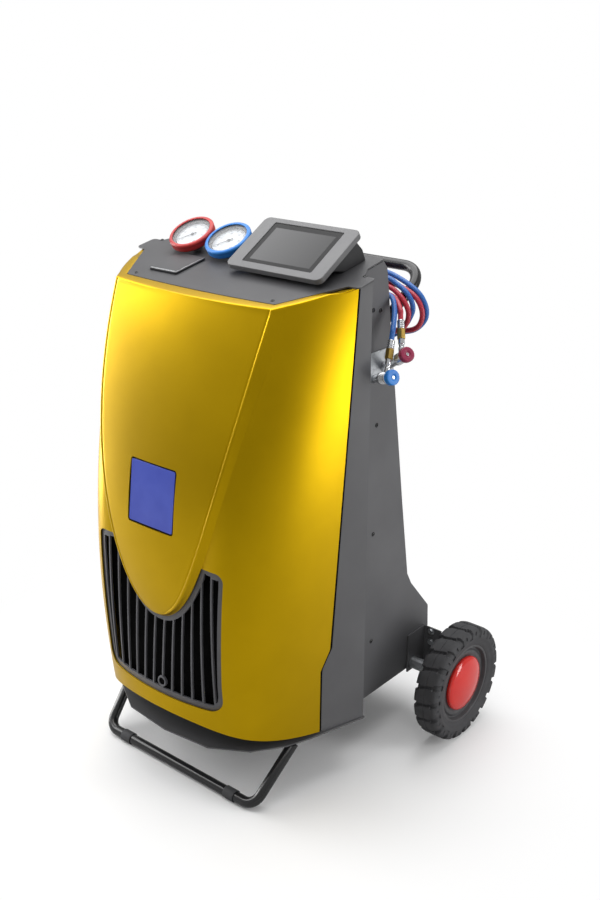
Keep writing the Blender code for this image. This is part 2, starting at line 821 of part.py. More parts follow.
def rear_share(z):
    """The share of the half width at which the skin stops, short of the column by the reveal."""
    target = column_front(z) - REVEAL
    low, high = 0.8, 1.1
    for _ in range(24):
        middle = (low + high) / 2
        if skin_depth(middle, z) < target:
            low = middle
        else:
            high = middle
    return low


def skin_border(s):
    """The skin's own border: along the skirt from the middle, then up beside the column."""
    corner = SKIRT_CORNER_ROW / SHIELD_ROWS
    low = skirt_bottom(1.0)
    if s <= corner:
        share = rear_share(low) * s / corner
        return share, skirt_bottom(share)
    climb = BORDER_SHARES[round(s * SHIELD_ROWS) - SKIRT_CORNER_ROW]
    z = low + (skin_top(rear_share(SKIN_TOP_Z)) - low) * climb
    return rear_share(z), z


def skin_row(s):
    """One row of the front's half: over the shield, down its bevel and out to the border."""
    ridge = shield_edge(s)
    row = []
    for j in range(SHIELD_COLUMNS + 1):
        share = j / SHIELD_COLUMNS
        bulge = SHIELD_BULGE_SHARE * ridge.x * (1 - share ** 2)
        row.append(Vector((ridge.x * share, ridge.y - bulge, ridge.z)))
    foot_share, foot_z = shield_foot(s)
    border_share, border_z = skin_border(s)
    for j in range(SKIRT_COLUMNS + 1):
        along_share = j / SKIRT_COLUMNS
        share = foot_share + (border_share - foot_share) * along_share
        z = foot_z + (border_z - foot_z) * along_share
        if s >= 1:
            z = skin_top(share)
        row.append(skin_point(share, z))
    return row


def plate_edge(share):
    """The control plate's edge beside the skin's rim: front edge to 0.5, side edge to 1."""
    if share <= 0.5:
        x = PLATE_FRONT_HALF * share / 0.5
        crown = PLATE_CROWN * (1 - (x / PLATE_FRONT_HALF) ** 2)
        return Vector((x, PLATE_FRONT_Y - crown, 0))
    climb = (share - 0.5) / 0.5
    return Vector((PLATE_FRONT_HALF + (PLATE_SHOULDER_X - PLATE_FRONT_HALF) * climb,
                   PLATE_FRONT_Y + (PLATE_SHOULDER_Y - PLATE_FRONT_Y) * climb, 0))


def rim_rows(top_row):
    """The rolled rim that runs from the skin's top edge in to the control plate.

    Its last two columns stay low, so they pass under the plate's ear.
    """
    rolled = []
    inner = []
    for j, point in enumerate(top_row):
        if j <= SHIELD_COLUMNS:
            edge = plate_edge(0.5 * j / SHIELD_COLUMNS)
        else:
            edge = plate_edge(0.5 + 0.5 * (j - SHIELD_COLUMNS) / (SKIRT_COLUMNS + 1))
        outward = Vector((point.x, point.y, 0)) - edge
        edge = edge + outward.normalized() * RIM_GAP
        drop = RIM_DROP if j > len(top_row) - 3 else 0.0
        place = point.lerp(edge, RIM_STEP_SHARE)
        rolled.append(Vector((place.x, place.y, plate_top(place.y) - drop)))
        inner.append(Vector((edge.x, edge.y, plate_top(edge.y) - drop)))
    rolled[0].x = 0.0
    inner[0].x = 0.0
    return [rolled, inner]


def make_front_panel(coat):
    """The yellow moulded front: skin, shield and rim in one, with its two apertures."""
    rows = [skin_row(i / SHIELD_ROWS) for i in range(SHIELD_ROWS + 1)]
    rows += rim_rows(rows[-1])
    mesh = face_outward(grid_mesh("front_panel", rows), (1, -1, 0))
    obj = link("front_panel", mesh, PARTS)
    mirror = obj.modifiers.new("left_half", "MIRROR")
    mirror.use_clip = True
    mirror.merge_threshold = SEAT_GAP / 10
    thicken(obj, SKIN)
    aperture = outline_mesh("grille_aperture", [grille_outline(0.0)], 4 * SKIRT_DROP)
    shape_with(obj, aperture, face_on(SHIELD_TIP_Y))
    pocket = outline_mesh("badge_aperture", [badge_outline(BADGE_MARGIN)], 2 * OVERRUN)
    shape_with(obj, pocket, badge_place(0.0))
    return dress(obj, coat)


def badge_place(lift):
    """The badge plate's placement: leaning with the shield, lifted along its normal."""
    up = Vector((0, BADGE_HIGH_Y - BADGE_LOW_Y, BADGE_HIGH_Z - BADGE_LOW_Z))
    middle = Vector((0, (BADGE_HIGH_Y + BADGE_LOW_Y) / 2, (BADGE_HIGH_Z + BADGE_LOW_Z) / 2))
    normal = Vector((1, 0, 0)).cross(up).normalized()
    return axes(middle + normal * lift, (1, 0, 0), up)


def badge_outline(margin):
    """The badge's rounded rectangle, grown by a margin."""
    height = math.hypot(BADGE_HIGH_Y - BADGE_LOW_Y, BADGE_HIGH_Z - BADGE_LOW_Z)
    corners = rectangle(2 * (BADGE_HALF + margin), height + 2 * margin)
    return fillet(corners, BADGE_CORNER + margin, 3)


def make_badge(coat, backing):
    """The plain badge plate, and the dark mount behind the front that carries it."""
    flat_piece("badge_plate", [badge_outline(0.0)], BADGE_THICK, badge_place(0.0), coat)
    behind = badge_place(-BADGE_MOUNT_SETBACK)
    mount = flat_piece("badge_mount", [badge_outline(BADGE_MOUNT_FLANGE)], BADGE_MOUNT_THICK,
                       behind, backing)
    boss_depth = BADGE_MOUNT_SETBACK - BADGE_THICK / 2 - SEAT_GAP
    boss = outline_mesh("badge_boss", [badge_outline(-BADGE_MARGIN)], boss_depth)
    shape_with(mount, boss, badge_place(-BADGE_MOUNT_SETBACK + boss_depth / 2), "UNION")


def grille_outline(margin):
    """The grille's outline: a trapezium with round heels, notched by the shield's tip."""
    notch = []
    notch_end = math.sqrt((GRILLE_TOP_Z - SHIELD_TIP_Z) / (SHIELD_TOP_Z - SHIELD_TIP_Z))
    for i in range(2 * NOTCH_STEPS):
        share, z = shield_foot(notch_end * i / NOTCH_STEPS)
        point = Vector((share * skin_half(z), z, 0))
        if z > GRILLE_TOP_Z - GRILLE_CORNER:
            before = notch[-1]
            notch.append(before.lerp(point, (GRILLE_TOP_Z - before.y) / (z - before.y)))
            break
        notch.append(point)
    corners = [Vector((GRILLE_SHOULDER_X, GRILLE_TOP_Z, 0)),
               Vector((GRILLE_WAIST_X, GRILLE_WAIST_Z, 0)), Vector((GRILLE_WAIST_X, GRILLE_BOTTOM_Z, 0)),
               Vector((0, GRILLE_BOTTOM_Z, 0))]
    radii = [0.0] * (len(notch) - 1) + [GRILLE_CORNER, GRILLE_SHOULDER_ROUND, 0.0, GRILLE_HEEL_ROUND, 0.0]
    right = fillet(notch + corners, radii, 5)
    return offset_outline(mirrored([(p.x, p.y) for p in right]), margin)


def offset_outline(outline, margin):
    """Moves a closed outline out by a margin (in, if negative)."""
    if margin == 0:
        return outline
    points = [Vector((p[0], p[1])) for p in outline]
    count = len(points)
    area = sum(points[i - 1].x * points[i].y - points[i].x * points[i - 1].y for i in range(count))
    side = 1 if area > 0 else -1
    moved = []
    for i, point in enumerate(points):
        ahead = (points[(i + 1) % count] - points[i - 1]).normalized()
        normal = Vector((ahead.y, -ahead.x)) * side
        moved.append((point.x + normal.x * margin, point.y + normal.y * margin))
    return moved


def make_grille(coat):
    """The dark grille: a frame behind the aperture with upright fins and a drain ring."""
    half_width = GRILLE_SHOULDER_X + 2 * GRILLE_LAP
    low_z = GRILLE_BOTTOM_Z - 2 * GRILLE_LAP
    high_z = GRILLE_TOP_Z + 2 * GRILLE_LAP
    rows = []
    for i in range(GRILLE_ROWS + 1):
        z = low_z + (high_z - low_z) * i / GRILLE_ROWS
        rows.append([skin_inner(half_width * (2 * j / GRILLE_COLUMNS - 1), z, GRILLE_SETBACK)
                     for j in range(GRILLE_COLUMNS + 1)])
    mesh = face_outward(grid_mesh("front_grille", rows), (0, -1, 0))
    obj = link("front_grille", mesh, PARTS)
    thicken(obj, GRILLE_THICK)
    blank = outline_mesh("grille_blank", [grille_outline(GRILLE_LAP)], 4 * SKIRT_DROP)
    shape_with(obj, blank, face_on(SHIELD_TIP_Y), "INTERSECT")
    slots = outline_mesh("grille_slots", grille_slots(), 4 * SKIRT_DROP)
    shape_with(obj, slots, face_on(SHIELD_TIP_Y))
    ring = outline_mesh("grille_ring", [circle(GRILLE_RING_R, 16)], GRILLE_THICK)
    seat = skin_inner(GRILLE_RING_X, GRILLE_RING_Z, GRILLE_SETBACK + GRILLE_THICK / 2)
    shape_with(obj, ring, axes(seat, (1, 0, 0), (0, 0, 1)), "UNION")
    drain = outline_mesh("grille_drain", [circle(GRILLE_RING_R - GRILLE_RING_WALL, 16)], 2 * OVERRUN)
    shape_with(obj, drain, axes(seat, (1, 0, 0), (0, 0, 1)))
    return dress(obj, coat)


def edge_heights(outline, x):
    """Heights at which an outline crosses a vertical line, lowest first."""
    found = []
    for (x0, z0), (x1, z1) in zip(outline, outline[1:] + outline[:1]):
        if (x0 - x) * (x1 - x) < 0:
            found.append(z0 + (z1 - z0) * (x - x0) / (x1 - x0))
    return sorted(found)


def grille_slots():
    """The upright slots between the fins, each trimmed to the frame's inner line."""
    inner = offset_outline(grille_outline(0.0), -GRILLE_RAIL)
    slots = []
    for i in range(GRILLE_SLOTS):
        middle = GRILLE_PITCH * (i - (GRILLE_SLOTS - 1) / 2)
        left = middle - (GRILLE_PITCH - GRILLE_BAR) / 2
        right = middle + (GRILLE_PITCH - GRILLE_BAR) / 2
        reach = GRILLE_WAIST_X - GRILLE_RAIL
        left = max(left, -reach)
        right = min(right, reach)
        if right - left < GRILLE_BAR:
            continue
        lefts = edge_heights(inner, left)
        rights = edge_heights(inner, right)
        if len(lefts) < 2 or len(rights) < 2:
            continue
        slots.append([(left, lefts[0]), (right, rights[0]), (right, rights[1]), (left, lefts[1])])
    return slots


# Cabinet
def make_base_tray(coat):
    """The floor plate with its lip under the columns and upstands along the sides and rear."""
    inner = CABINET_HALF - SHEET - SEAT_GAP
    rear = rear_y(SIDE_BOTTOM_Z) - SHEET - 2 * SEAT_GAP
    half = [(0.0, FLOOR_FRONT_Y), (0.45 * LIP_FRONT_X, 0.965 * FLOOR_FRONT_Y),
            (0.75 * LIP_FRONT_X, 0.83 * FLOOR_FRONT_Y), (0.92 * LIP_FRONT_X, 0.65 * FLOOR_FRONT_Y),
            (LIP_FRONT_X, LIP_FRONT_Y), (LIP_REAR_X, COLUMN_REAR_Y - COLUMN_SHEET),
            (LIP_REAR_X, COLUMN_REAR_Y + COLUMN_SHEET), (inner, COLUMN_REAR_Y + COLUMN_SHEET),
            (inner, rear), (0.0, rear)]
    middle = FLOOR_Z + FLOOR_PLATE / 2
    tray = flat_piece("base_tray", [mirrored(half)], FLOOR_PLATE, level_at(middle), coat)
    wall = SHEET
    for side in (-1, 1):
        low_x, high_x = sorted((side * inner, side * (inner - wall)))
        upstand = box_mesh("side_upstand", (low_x, COLUMN_REAR_Y + OVERRUN, middle),
                           (high_x, rear, UPSTAND_TOP_Z))
        shape_with(tray, upstand, None, "UNION")
    back = box_mesh("rear_upstand", (-inner + wall / 2, rear - wall, middle),
                    (inner - wall / 2, rear, UPSTAND_TOP_Z))
    shape_with(tray, back, None, "UNION")
    shape_with(tray, axle_bore(), along((0, AXLE_Y, AXLE_Z), (1, 0, 0)))
    return tray


def axle_bore():
    """The cutter that clears the axle through sheet metal."""
    return rod_mesh("axle_bore", AXLE_RADIUS + SEAT_GAP, -CABINET_HALF - OVERRUN,
                    CABINET_HALF + OVERRUN, SMALL_STEPS)


def make_side_panel(name, side, coat):
    """A cabinet side, with its rear edge stepping out over the wheels."""
    top_front = plate_top(SIDE_TOP_FRONT_Y) - PLATE_THICK / math.cos(PLATE_SLOPE) - SEAT_GAP
    top_rear = plate_top(SIDE_REAR[0][0]) - PLATE_THICK / math.cos(PLATE_SLOPE) - SEAT_GAP
    outline = [(SIDE_TOP_FRONT_Y, SIDE_BOTTOM_Z), (SIDE_TOP_FRONT_Y, top_front),
               (SIDE_REAR[0][0], min(top_rear, SIDE_REAR[0][1]))]
    outline += list(SIDE_REAR[1:-1]) + [(SIDE_REAR[-1][0], SIDE_BOTTOM_Z)]
    centre = side * (CABINET_HALF - SHEET / 2)
    panel = flat_piece(name, [outline], SHEET, side_on(centre), coat)
    shape_with(panel, axle_bore(), along((0, AXLE_Y, AXLE_Z), (1, 0, 0)))
    return panel


def rear_y(z):
    """Depth of the rear panel's outer face at a height."""
    heights = [p[1] for p in reversed(SIDE_REAR)]
    depths = [p[0] - REAR_INSET for p in reversed(SIDE_REAR)]
    return float(np.interp(z, heights, depths))


def make_rear_panel(coat):
    """The folded rear panel, with louvres, handle holes and cut-outs for hoses and mains."""
    half = CABINET_HALF - SHEET - SEAT_GAP
    levels = [p[1] for p in SIDE_REAR[1:-1]] + [SIDE_BOTTOM_Z + SHEET]
    profile = [(rear_y(z), z) for z in levels]
    rows = [[(side * half, y, z) for side in (-1, 1)] for y, z in profile]
    mesh = face_outward(grid_mesh("rear_panel", rows), (0, 1, 0))
    panel = link("rear_panel", mesh, PARTS)
    thicken(panel, SHEET)
    slots = []
    for i in range(LOUVRE_COUNT):
        z = LOUVRE_LOW_Z + LOUVRE_PITCH * i
        slots.append([(x, z + y) for x, y in rectangle(2 * LOUVRE_HALF, LOUVRE_HEIGHT)])
    shape_with(panel, outline_mesh("louvres", slots, 2 * OVERRUN), face_on(rear_y(LOUVRE_LOW_Z) - OVERRUN / 2))
    holes = [circle(OUTLET_RADIUS + SEAT_GAP, SMALL_STEPS, x, OUTLET_Z)
             for x in (BLUE_OUTLET_X, RED_OUTLET_X)]
    holes.append(circle(HOOK_RADIUS + SEAT_GAP, SMALL_STEPS, HOOK_X, HOOK_Z))
    shape_with(panel, outline_mesh("outlet_holes", holes, 2 * OVERRUN), face_on(rear_y(OUTLET_Z)))
    for side in (-1, 1):
        arm = rod_mesh("handle_hole", HANDLE_RADIUS + SEAT_GAP, -3 * OVERRUN, 3 * OVERRUN, SMALL_STEPS)
        root, end = handle_arm(side)
        crossing = root.lerp(end, HANDLE_CROSSING_SHARE)
        shape_with(panel, arm, along(crossing, end - root))
    mains = outline_mesh("mains_hole", [rectangle(MAINS_WIDTH, MAINS_HEIGHT)], OVERRUN)
    shape_with(panel, mains, slope_place(MAINS_X, MAINS_Z))
    return dress(panel, coat)


def slope_place(x, z, lift=0.0):
    """A placement on the rear panel's outer face, its Z pointing out of the cabinet."""
    step = SHEET
    down = Vector((0, rear_y(z - step) - rear_y(z + step), -2 * step)).normalized()
    normal = Vector((1, 0, 0)).cross(down)
    if normal.y < 0:
        normal.negate()
    origin = Vector((x, rear_y(z), z)) + normal * lift
    return axes(origin, (-1, 0, 0), -down)


def column_front(z):
    """Depth of a column's front edge at a height."""
    heights = (COLUMN_FOOT_Z, COLUMN_JOG_LOW_Z, COLUMN_JOG_HIGH_Z, SKIN_TOP_Z)
    depths = (COLUMN_FRONT_LOW_Y, COLUMN_FRONT_LOW_Y, COLUMN_FRONT_JOG_Y, COLUMN_FRONT_HIGH_Y)
    return float(np.interp(z, heights, depths))


def make_column(name, side, coat):
    """A folded corner column: rear return, tapering face and front return."""
    rows = []
    top = plate_top(COLUMN_REAR_Y)
    for level, z in enumerate((COLUMN_FOOT_Z, COLUMN_JOG_LOW_Z, COLUMN_JOG_HIGH_Z, top)):
        front_y = column_front(z)
        front_x = COLUMN_X + COLUMN_TAPER * (front_y - COLUMN_REAR_Y)
        inner_x = CABINET_HALF + SEAT_GAP
        back = [(inner_x, COLUMN_REAR_Y), (COLUMN_X, COLUMN_REAR_Y), (front_x, front_y),
                (max(front_x - COLUMN_RETURN, inner_x), front_y)]
        row = []
        for x, y in back:
            height = z
            if level == 3:
                height = plate_top(y - COLUMN_SHEET) - PLATE_THICK / math.cos(PLATE_SLOPE) - SEAT_GAP
            row.append((side * x, y, height))
        rows.append(row)
    mesh = face_outward(grid_mesh(name, rows), (side, 0, 0))
    column = link(name, mesh, PARTS)
    thicken(column, COLUMN_SHEET)
    return dress(column, coat)


def plate_outline():
    """The control plate's outline in its own sloping plane."""
    stretch = 1 / math.cos(PLATE_SLOPE)
    front = [plate_edge(0.5 * i / 4) for i in range(5)]
    half = [(p.x, p.y) for p in front]
    half += [(PLATE_SHOULDER_X, PLATE_SHOULDER_Y), (EAR_X, EAR_FRONT_Y), (EAR_X, EAR_REAR_Y),
             (PLATE_SHOULDER_X, EAR_REAR_Y), (PLATE_NOTCH_X, PLATE_NOTCH_Y),
             (PLATE_NOTCH_X, PLATE_REAR_Y), (0.0, PLATE_REAR_Y)]
    radii = [0, 0, 0, 0, PLATE_CORNER, 0, PLATE_CORNER, PLATE_CORNER, 0, 0, PLATE_CORNER, 0]
    right = fillet([(x, y * stretch) for x, y in half], radii, 3)
    return mirrored([(p.x, p.y) for p in right])


def make_control_plate(coat):
    """The sloping control plate with its gauge, printer and display openings."""
    stretch = 1 / math.cos(PLATE_SLOPE)
    opening = fillet([(PRINTER_X + x, PRINTER_Y * stretch + y) for x, y in
                      rectangle(PRINTER_WIDTH - 2 * PRINTER_RIM, PRINTER_LENGTH - 2 * PRINTER_RIM)],
                     PRINTER_CORNER, 2)
    holes = [[(p.x, p.y) for p in opening]]
    plate = flat_piece("control_plate", [plate_outline()] + holes, PLATE_THICK,
                       plate_at(0, 0, -PLATE_THICK / 2), coat)
    for x in (RED_GAUGE_X, BLUE_GAUGE_X):
        hole = rod_mesh("stem_hole", STEM_HOLE, -STEM_LENGTH - OVERRUN, 0.0, SMALL_STEPS)
        shape_with(plate, hole, gauge_place(x))
    return plate


# Gauges
def gauge_place(x, level=0.0):
    """A placement on a gauge's face, its Z out of the glass."""
    normal = Vector((0, -math.sin(GAUGE_TILT), math.cos(GAUGE_TILT)))
    origin = Vector((x, GAUGE_Y, GAUGE_Z)) + normal * level
    return axes(origin, (1, 0, 0), (0, math.cos(GAUGE_TILT), math.sin(GAUGE_TILT)))


def make_gauge(colour_name, x, coats):
    """One gauge: rubber boot, case with its stem, dial, needle and glass."""
    inner = CASE_RADIUS + SEAT_GAP
    lip_level = -BOOT_ROUND
    boot = [(BOOT_LIP, 0), (BOOT_RADIUS - BOOT_ROUND, 0), (BOOT_RADIUS, -BOOT_ROUND),
            (BOOT_RADIUS, BOOT_ROUND - BOOT_DEPTH), (BOOT_RADIUS - BOOT_ROUND, -BOOT_DEPTH),
            (BOOT_BACK_HOLE, -BOOT_DEPTH), (BOOT_BACK_HOLE, -CASE_DEPTH - SEAT_GAP),
            (inner, -CASE_DEPTH - SEAT_GAP), (inner, lip_level), (BOOT_LIP, lip_level)]
    turned_piece(colour_name + "_gauge_boot", boot, gauge_place(x), coats["boot"], ring=True)
    floor = -DIAL_LEVEL - DIAL_THICK - SEAT_GAP
    case = [(0, floor - ARBOR_LENGTH), (ARBOR_HOLE, floor - ARBOR_LENGTH), (ARBOR_HOLE, floor),
            (CASE_RADIUS - CASE_WALL, floor), (CASE_RADIUS - CASE_WALL, lip_level - SEAT_GAP),
            (CASE_RADIUS, lip_level - SEAT_GAP), (CASE_RADIUS, -CASE_DEPTH),
            (STEM_RADIUS, -CASE_DEPTH), (STEM_RADIUS, -STEM_LENGTH), (0, -STEM_LENGTH)]
    turned_piece(colour_name + "_gauge_case", case, gauge_place(x), coats["case"])
    reach = CASE_RADIUS - CASE_WALL - SEAT_GAP
    dial = [(ARBOR_HOLE, -DIAL_LEVEL), (reach, -DIAL_LEVEL), (reach, -DIAL_LEVEL - DIAL_THICK),
            (ARBOR_HOLE, -DIAL_LEVEL - DIAL_THICK)]
    turned_piece(colour_name + "_gauge_dial", dial, gauge_place(x), coats["dial"], ring=True)
    glass = [(0, -GLASS_LEVEL), (reach, -GLASS_LEVEL), (reach, -GLASS_LEVEL - GLASS_THICK),
             (0, -GLASS_LEVEL - GLASS_THICK)]
    turned_piece(colour_name + "_gauge_glass", glass, gauge_place(x), coats["glass"])
    make_needle(colour_name + "_gauge_needle", x, coats["needle"])


def make_needle(name, x, coat):
    """The needle with its hub and the arbor that turns in the case."""
    pivot = pivot_at(name + "_pivot", gauge_place(x, -NEEDLE_LEVEL) @ Matrix.Rotation(-NEEDLE_REST, 4, "Z"))
    tip = NEEDLE_WIDTH / 4
    outline = [(-NEEDLE_WIDTH / 2, -NEEDLE_TAIL), (NEEDLE_WIDTH / 2, -NEEDLE_TAIL),
               (NEEDLE_WIDTH / 2, 0), (tip, NEEDLE_LENGTH), (-tip, NEEDLE_LENGTH), (-NEEDLE_WIDTH / 2, 0)]
    needle = flat_piece(name, [outline], NEEDLE_THICK, None, coat, pivot)
    hub = rod_mesh("needle_hub", NEEDLE_HUB, -NEEDLE_THICK, NEEDLE_THICK, 12)
    tool = shape_with(needle, hub, None, "UNION")
    tool.parent = pivot
    arbor = rod_mesh("needle_arbor", ARBOR_RADIUS, -ARBOR_LENGTH, 0.0, 8)
    tool = shape_with(needle, arbor, None, "UNION")
    tool.parent = pivot


# Display and printer
def display_place(level=0.0):
    """A placement on the display's front face."""
    normal = Vector((0, -math.sin(DISPLAY_TILT), math.cos(DISPLAY_TILT)))
    origin = Vector((DISPLAY_X, DISPLAY_Y, DISPLAY_Z)) + normal * level
    return axes(origin, (1, 0, 0), (0, math.cos(DISPLAY_TILT), math.sin(DISPLAY_TILT)))


def display_back(v):
    """A point (y, z) on the back of the display, v up its slope from the middle."""
    place = display_place(-DISPLAY_THICK - SEAT_GAP) @ Vector((0, v, 0))
    return place.y, place.z


def make_display(bezel_coat, screen_coat, housing_coat):
    """The display: bezel tray, screen and the wedge housing that stands on the plate."""
    outer = fillet(rectangle(DISPLAY_WIDTH, DISPLAY_HEIGHT), DISPLAY_CORNER, 5)
    bezel = flat_piece("display_bezel", [outer], DISPLAY_THICK, display_place(-DISPLAY_THICK / 2), bezel_coat)
    window = [(p.x, p.y + WINDOW_OFFSET) for p in
              fillet(rectangle(WINDOW_WIDTH, WINDOW_HEIGHT), WINDOW_CORNER, 2)]
    depth = DISPLAY_THICK - SCREEN_FLOOR
    pocket = outline_mesh("display_pocket", [window], 2 * depth)
    shape_with(bezel, pocket, display_place(0.0))
    edge = bezel.modifiers.new("edge", "BEVEL")
    edge.width = SCREEN_SETBACK
    edge.segments = 2
    edge.limit_method = "ANGLE"
    edge.angle_limit = math.radians(60.0)
    glass = [(p.x, p.y + WINDOW_OFFSET) for p in
             fillet(rectangle(WINDOW_WIDTH - 2 * SEAT_GAP, WINDOW_HEIGHT - 2 * SEAT_GAP), WINDOW_CORNER, 2)]
    thick = DISPLAY_THICK - SCREEN_FLOOR - SCREEN_SETBACK - SEAT_GAP
    flat_piece("display_screen", [glass], thick, display_place(-SCREEN_SETBACK - thick / 2), screen_coat)
    low = display_back(-HOUSING_LOW)
    high = display_back(HOUSING_HIGH)
    profile = [low, (HOUSING_FRONT_Y, plate_top(HOUSING_FRONT_Y) + SEAT_GAP),
               (HOUSING_REAR_Y, plate_top(HOUSING_REAR_Y) + SEAT_GAP),
               (HOUSING_REAR_Y - HOUSING_SHOULDER_STEP, plate_top(HOUSING_REAR_Y) + HOUSING_SHOULDER_RISE),
               high]
    housing = flat_piece("display_housing", [profile], 2 * HOUSING_HALF, side_on(DISPLAY_X), housing_coat)
    soft = housing.modifiers.new("edge", "BEVEL")
    soft.width = BOOT_ROUND
    soft.segments = 2
    soft.limit_method = "ANGLE"
    soft.angle_limit = math.radians(20.0)


def printer_place(lift=0.0):
    """A placement at the middle of the printer, on the control plate."""
    return plate_at(PRINTER_X, PRINTER_Y, lift)


def make_printer(body_coat, lid_coat, paper_coat):
    """The printer: its body under the plate, the hinged lid and the paper roll."""
    rim = fillet(rectangle(PRINTER_WIDTH, PRINTER_LENGTH), PRINTER_CORNER, 3)
    body = flat_piece("printer_body", [rim], PRINTER_RIM_THICK,
                      printer_place(SEAT_GAP + PRINTER_RIM_THICK / 2), body_coat)
    width = PRINTER_WIDTH - 2 * PRINTER_RIM - 2 * SEAT_GAP
    length = PRINTER_LENGTH - 2 * PRINTER_RIM - 2 * SEAT_GAP
    well = fillet(rectangle(width, length), PRINTER_CORNER, 2)
    drop = PRINTER_DEPTH
    shape_with(body, outline_mesh("printer_well", [well], drop),
               printer_place(SEAT_GAP + PRINTER_RIM_THICK / 2 - drop / 2), "UNION")
    room = rectangle(width - 2 * PRINTER_WALL, length - 2 * PRINTER_WALL)
    shape_with(body, outline_mesh("printer_room", [room], drop),
               printer_place(SEAT_GAP + PRINTER_RIM_THICK + PRINTER_WALL - drop / 2))
    pivot = pivot_at("printer_lid_pivot", printer_lid_axis())
    lid_outline = [(p.x, p.y - PRINTER_LENGTH / 2) for p in
                   fillet(rectangle(PRINTER_WIDTH, PRINTER_LENGTH), LID_CORNER, 3)]
    lid = flat_piece("printer_lid", [lid_outline], LID_THICK, None, lid_coat, pivot)
    knuckle = rod_mesh("lid_knuckle", LID_KNUCKLE / 2, -LID_KNUCKLE_HALF, LID_KNUCKLE_HALF, 10)
    tool = shape_with(lid, knuckle, axes((0, 0, 0), (0, 1, 0), (0, 0, 1)), "UNION")
    tool.parent = pivot
    roll = [(ROLL_RADIUS, ROLL_HALF), (ROLL_RADIUS, -ROLL_HALF), (ROLL_CORE, -ROLL_HALF), (ROLL_CORE, ROLL_HALF)]
    centre = printer_place(-PRINTER_DEPTH + PRINTER_WALL + ROLL_RADIUS + PRINTER_RIM_THICK + 2 * SEAT_GAP)
    turned_piece("paper_roll", roll, centre @ axes((0, 0, 0), (0, 1, 0), (0, 0, 1)), paper_coat,
                 ring=True, steps=20)


def printer_lid_axis():
    """The lid's hinge line along its rear edge."""
    lift = SEAT_GAP + PRINTER_RIM_THICK + SEAT_GAP + LID_THICK / 2
    return printer_place(lift) @ Matrix.Translation((0, PRINTER_LENGTH / 2, 0))


# Handle, foot stand, axle and wheels
def handle_arm(side):
    """The two ends of a handle arm: deep inside the cabinet, and at the bend."""
    slope = Vector((0, math.cos(HANDLE_SLOPE), math.sin(HANDLE_SLOPE)))
    bar = Vector((0, HANDLE_BAR_Y, HANDLE_BAR_Z))
    root = bar - slope * HANDLE_ARM + Vector((side * HANDLE_ROOT_HALF, 0, 0))
    end = bar + Vector((side * HANDLE_HALF, 0, 0))
    return root, end


def make_handle(coat):
    """The push handle: one bent tube whose arms run down into the cabinet."""
    left_root, left_end = handle_arm(-1)
    right_root, right_end = handle_arm(1)
    path = fillet([left_root, left_end, right_end, right_root], HANDLE_BEND, BEND_STEPS, closed=False)
    return tube_piece("push_handle", path, HANDLE_RADIUS, coat)


def make_foot(coat, sleeve_coat):
    """The front foot: a bent tube under the floor plate with two sleeves on its bar."""
    bar_z = FOOT_SLEEVE_RADIUS
    top_z = FLOOR_Z - SEAT_GAP
    path = fillet([(-FOOT_TOP_HALF, FOOT_TOP_Y, top_z), (-FOOT_HALF, FOOT_BAR_Y, bar_z),
                   (FOOT_HALF, FOOT_BAR_Y, bar_z), (FOOT_TOP_HALF, FOOT_TOP_Y, top_z)],
                  FOOT_BEND, BEND_STEPS, closed=False)
    foot = tube_piece("foot_stand", path, FOOT_RADIUS, coat)
    shape_with(foot, box_mesh("foot_trim", (-2 * FOOT_TOP_HALF, FOOT_BAR_Y, top_z),
                              (2 * FOOT_TOP_HALF, 0, FLOOR_TOP_Z + OVERRUN)))
    inner = FOOT_RADIUS + SEAT_GAP
    for name, side in (("left_foot_sleeve", -1), ("right_foot_sleeve", 1)):
        half = FOOT_SLEEVE_LENGTH / 2
        ring = [(FOOT_SLEEVE_RADIUS, half), (FOOT_SLEEVE_RADIUS, -half), (inner, -half), (inner, half)]
        turned_piece(name, ring, along((side * FOOT_SLEEVE_X, FOOT_BAR_Y, bar_z), (1, 0, 0)),
                     sleeve_coat, ring=True, steps=16)


def make_axle(coat):
    """The axle rod with its spacer sleeves, turned in one."""
    inner = CABINET_HALF + BRACKET_SHEET + 2 * SEAT_GAP
    outer = WHEEL_X - HUB_INNER - RUNNING_GAP
    profile = [(0, AXLE_HALF), (AXLE_RADIUS, AXLE_HALF), (AXLE_RADIUS, outer), (SLEEVE_RADIUS, outer),
               (SLEEVE_RADIUS, inner), (AXLE_RADIUS, inner), (AXLE_RADIUS, -inner), (SLEEVE_RADIUS, -inner),
               (SLEEVE_RADIUS, -outer), (AXLE_RADIUS, -outer), (AXLE_RADIUS, -AXLE_HALF), (0, -AXLE_HALF)]
    return turned_piece("axle", profile, along((0, AXLE_Y, AXLE_Z), (1, 0, 0)), coat, steps=SMALL_STEPS)


def make_axle_bracket(name, side, coat):
    """An angle bracket: a leg on the cabinet side that holds the axle, and a rear web."""
    near = CABINET_HALF + SEAT_GAP
    far = CABINET_HALF + BRACKET_REACH
    front = BRACKET_REAR_Y - BRACKET_LEG
    inside = BRACKET_REAR_Y - BRACKET_SHEET
    outline = [(near, front), (near + BRACKET_SHEET, front), (near + BRACKET_SHEET, inside),
               (far, inside), (far, BRACKET_REAR_Y), (near, BRACKET_REAR_Y)]
    height = BRACKET_HIGH_Z - BRACKET_LOW_Z
    bracket = flat_piece(name, [[(side * x, y) for x, y in outline]], height,
                         level_at(BRACKET_LOW_Z + height / 2), coat)
    bore = rod_mesh("bracket_bore", AXLE_RADIUS + SEAT_GAP, -LIP_REAR_X, LIP_REAR_X, SMALL_STEPS)
    shape_with(bracket, bore, along((0, AXLE_Y, AXLE_Z), (1, 0, 0)))
    return bracket


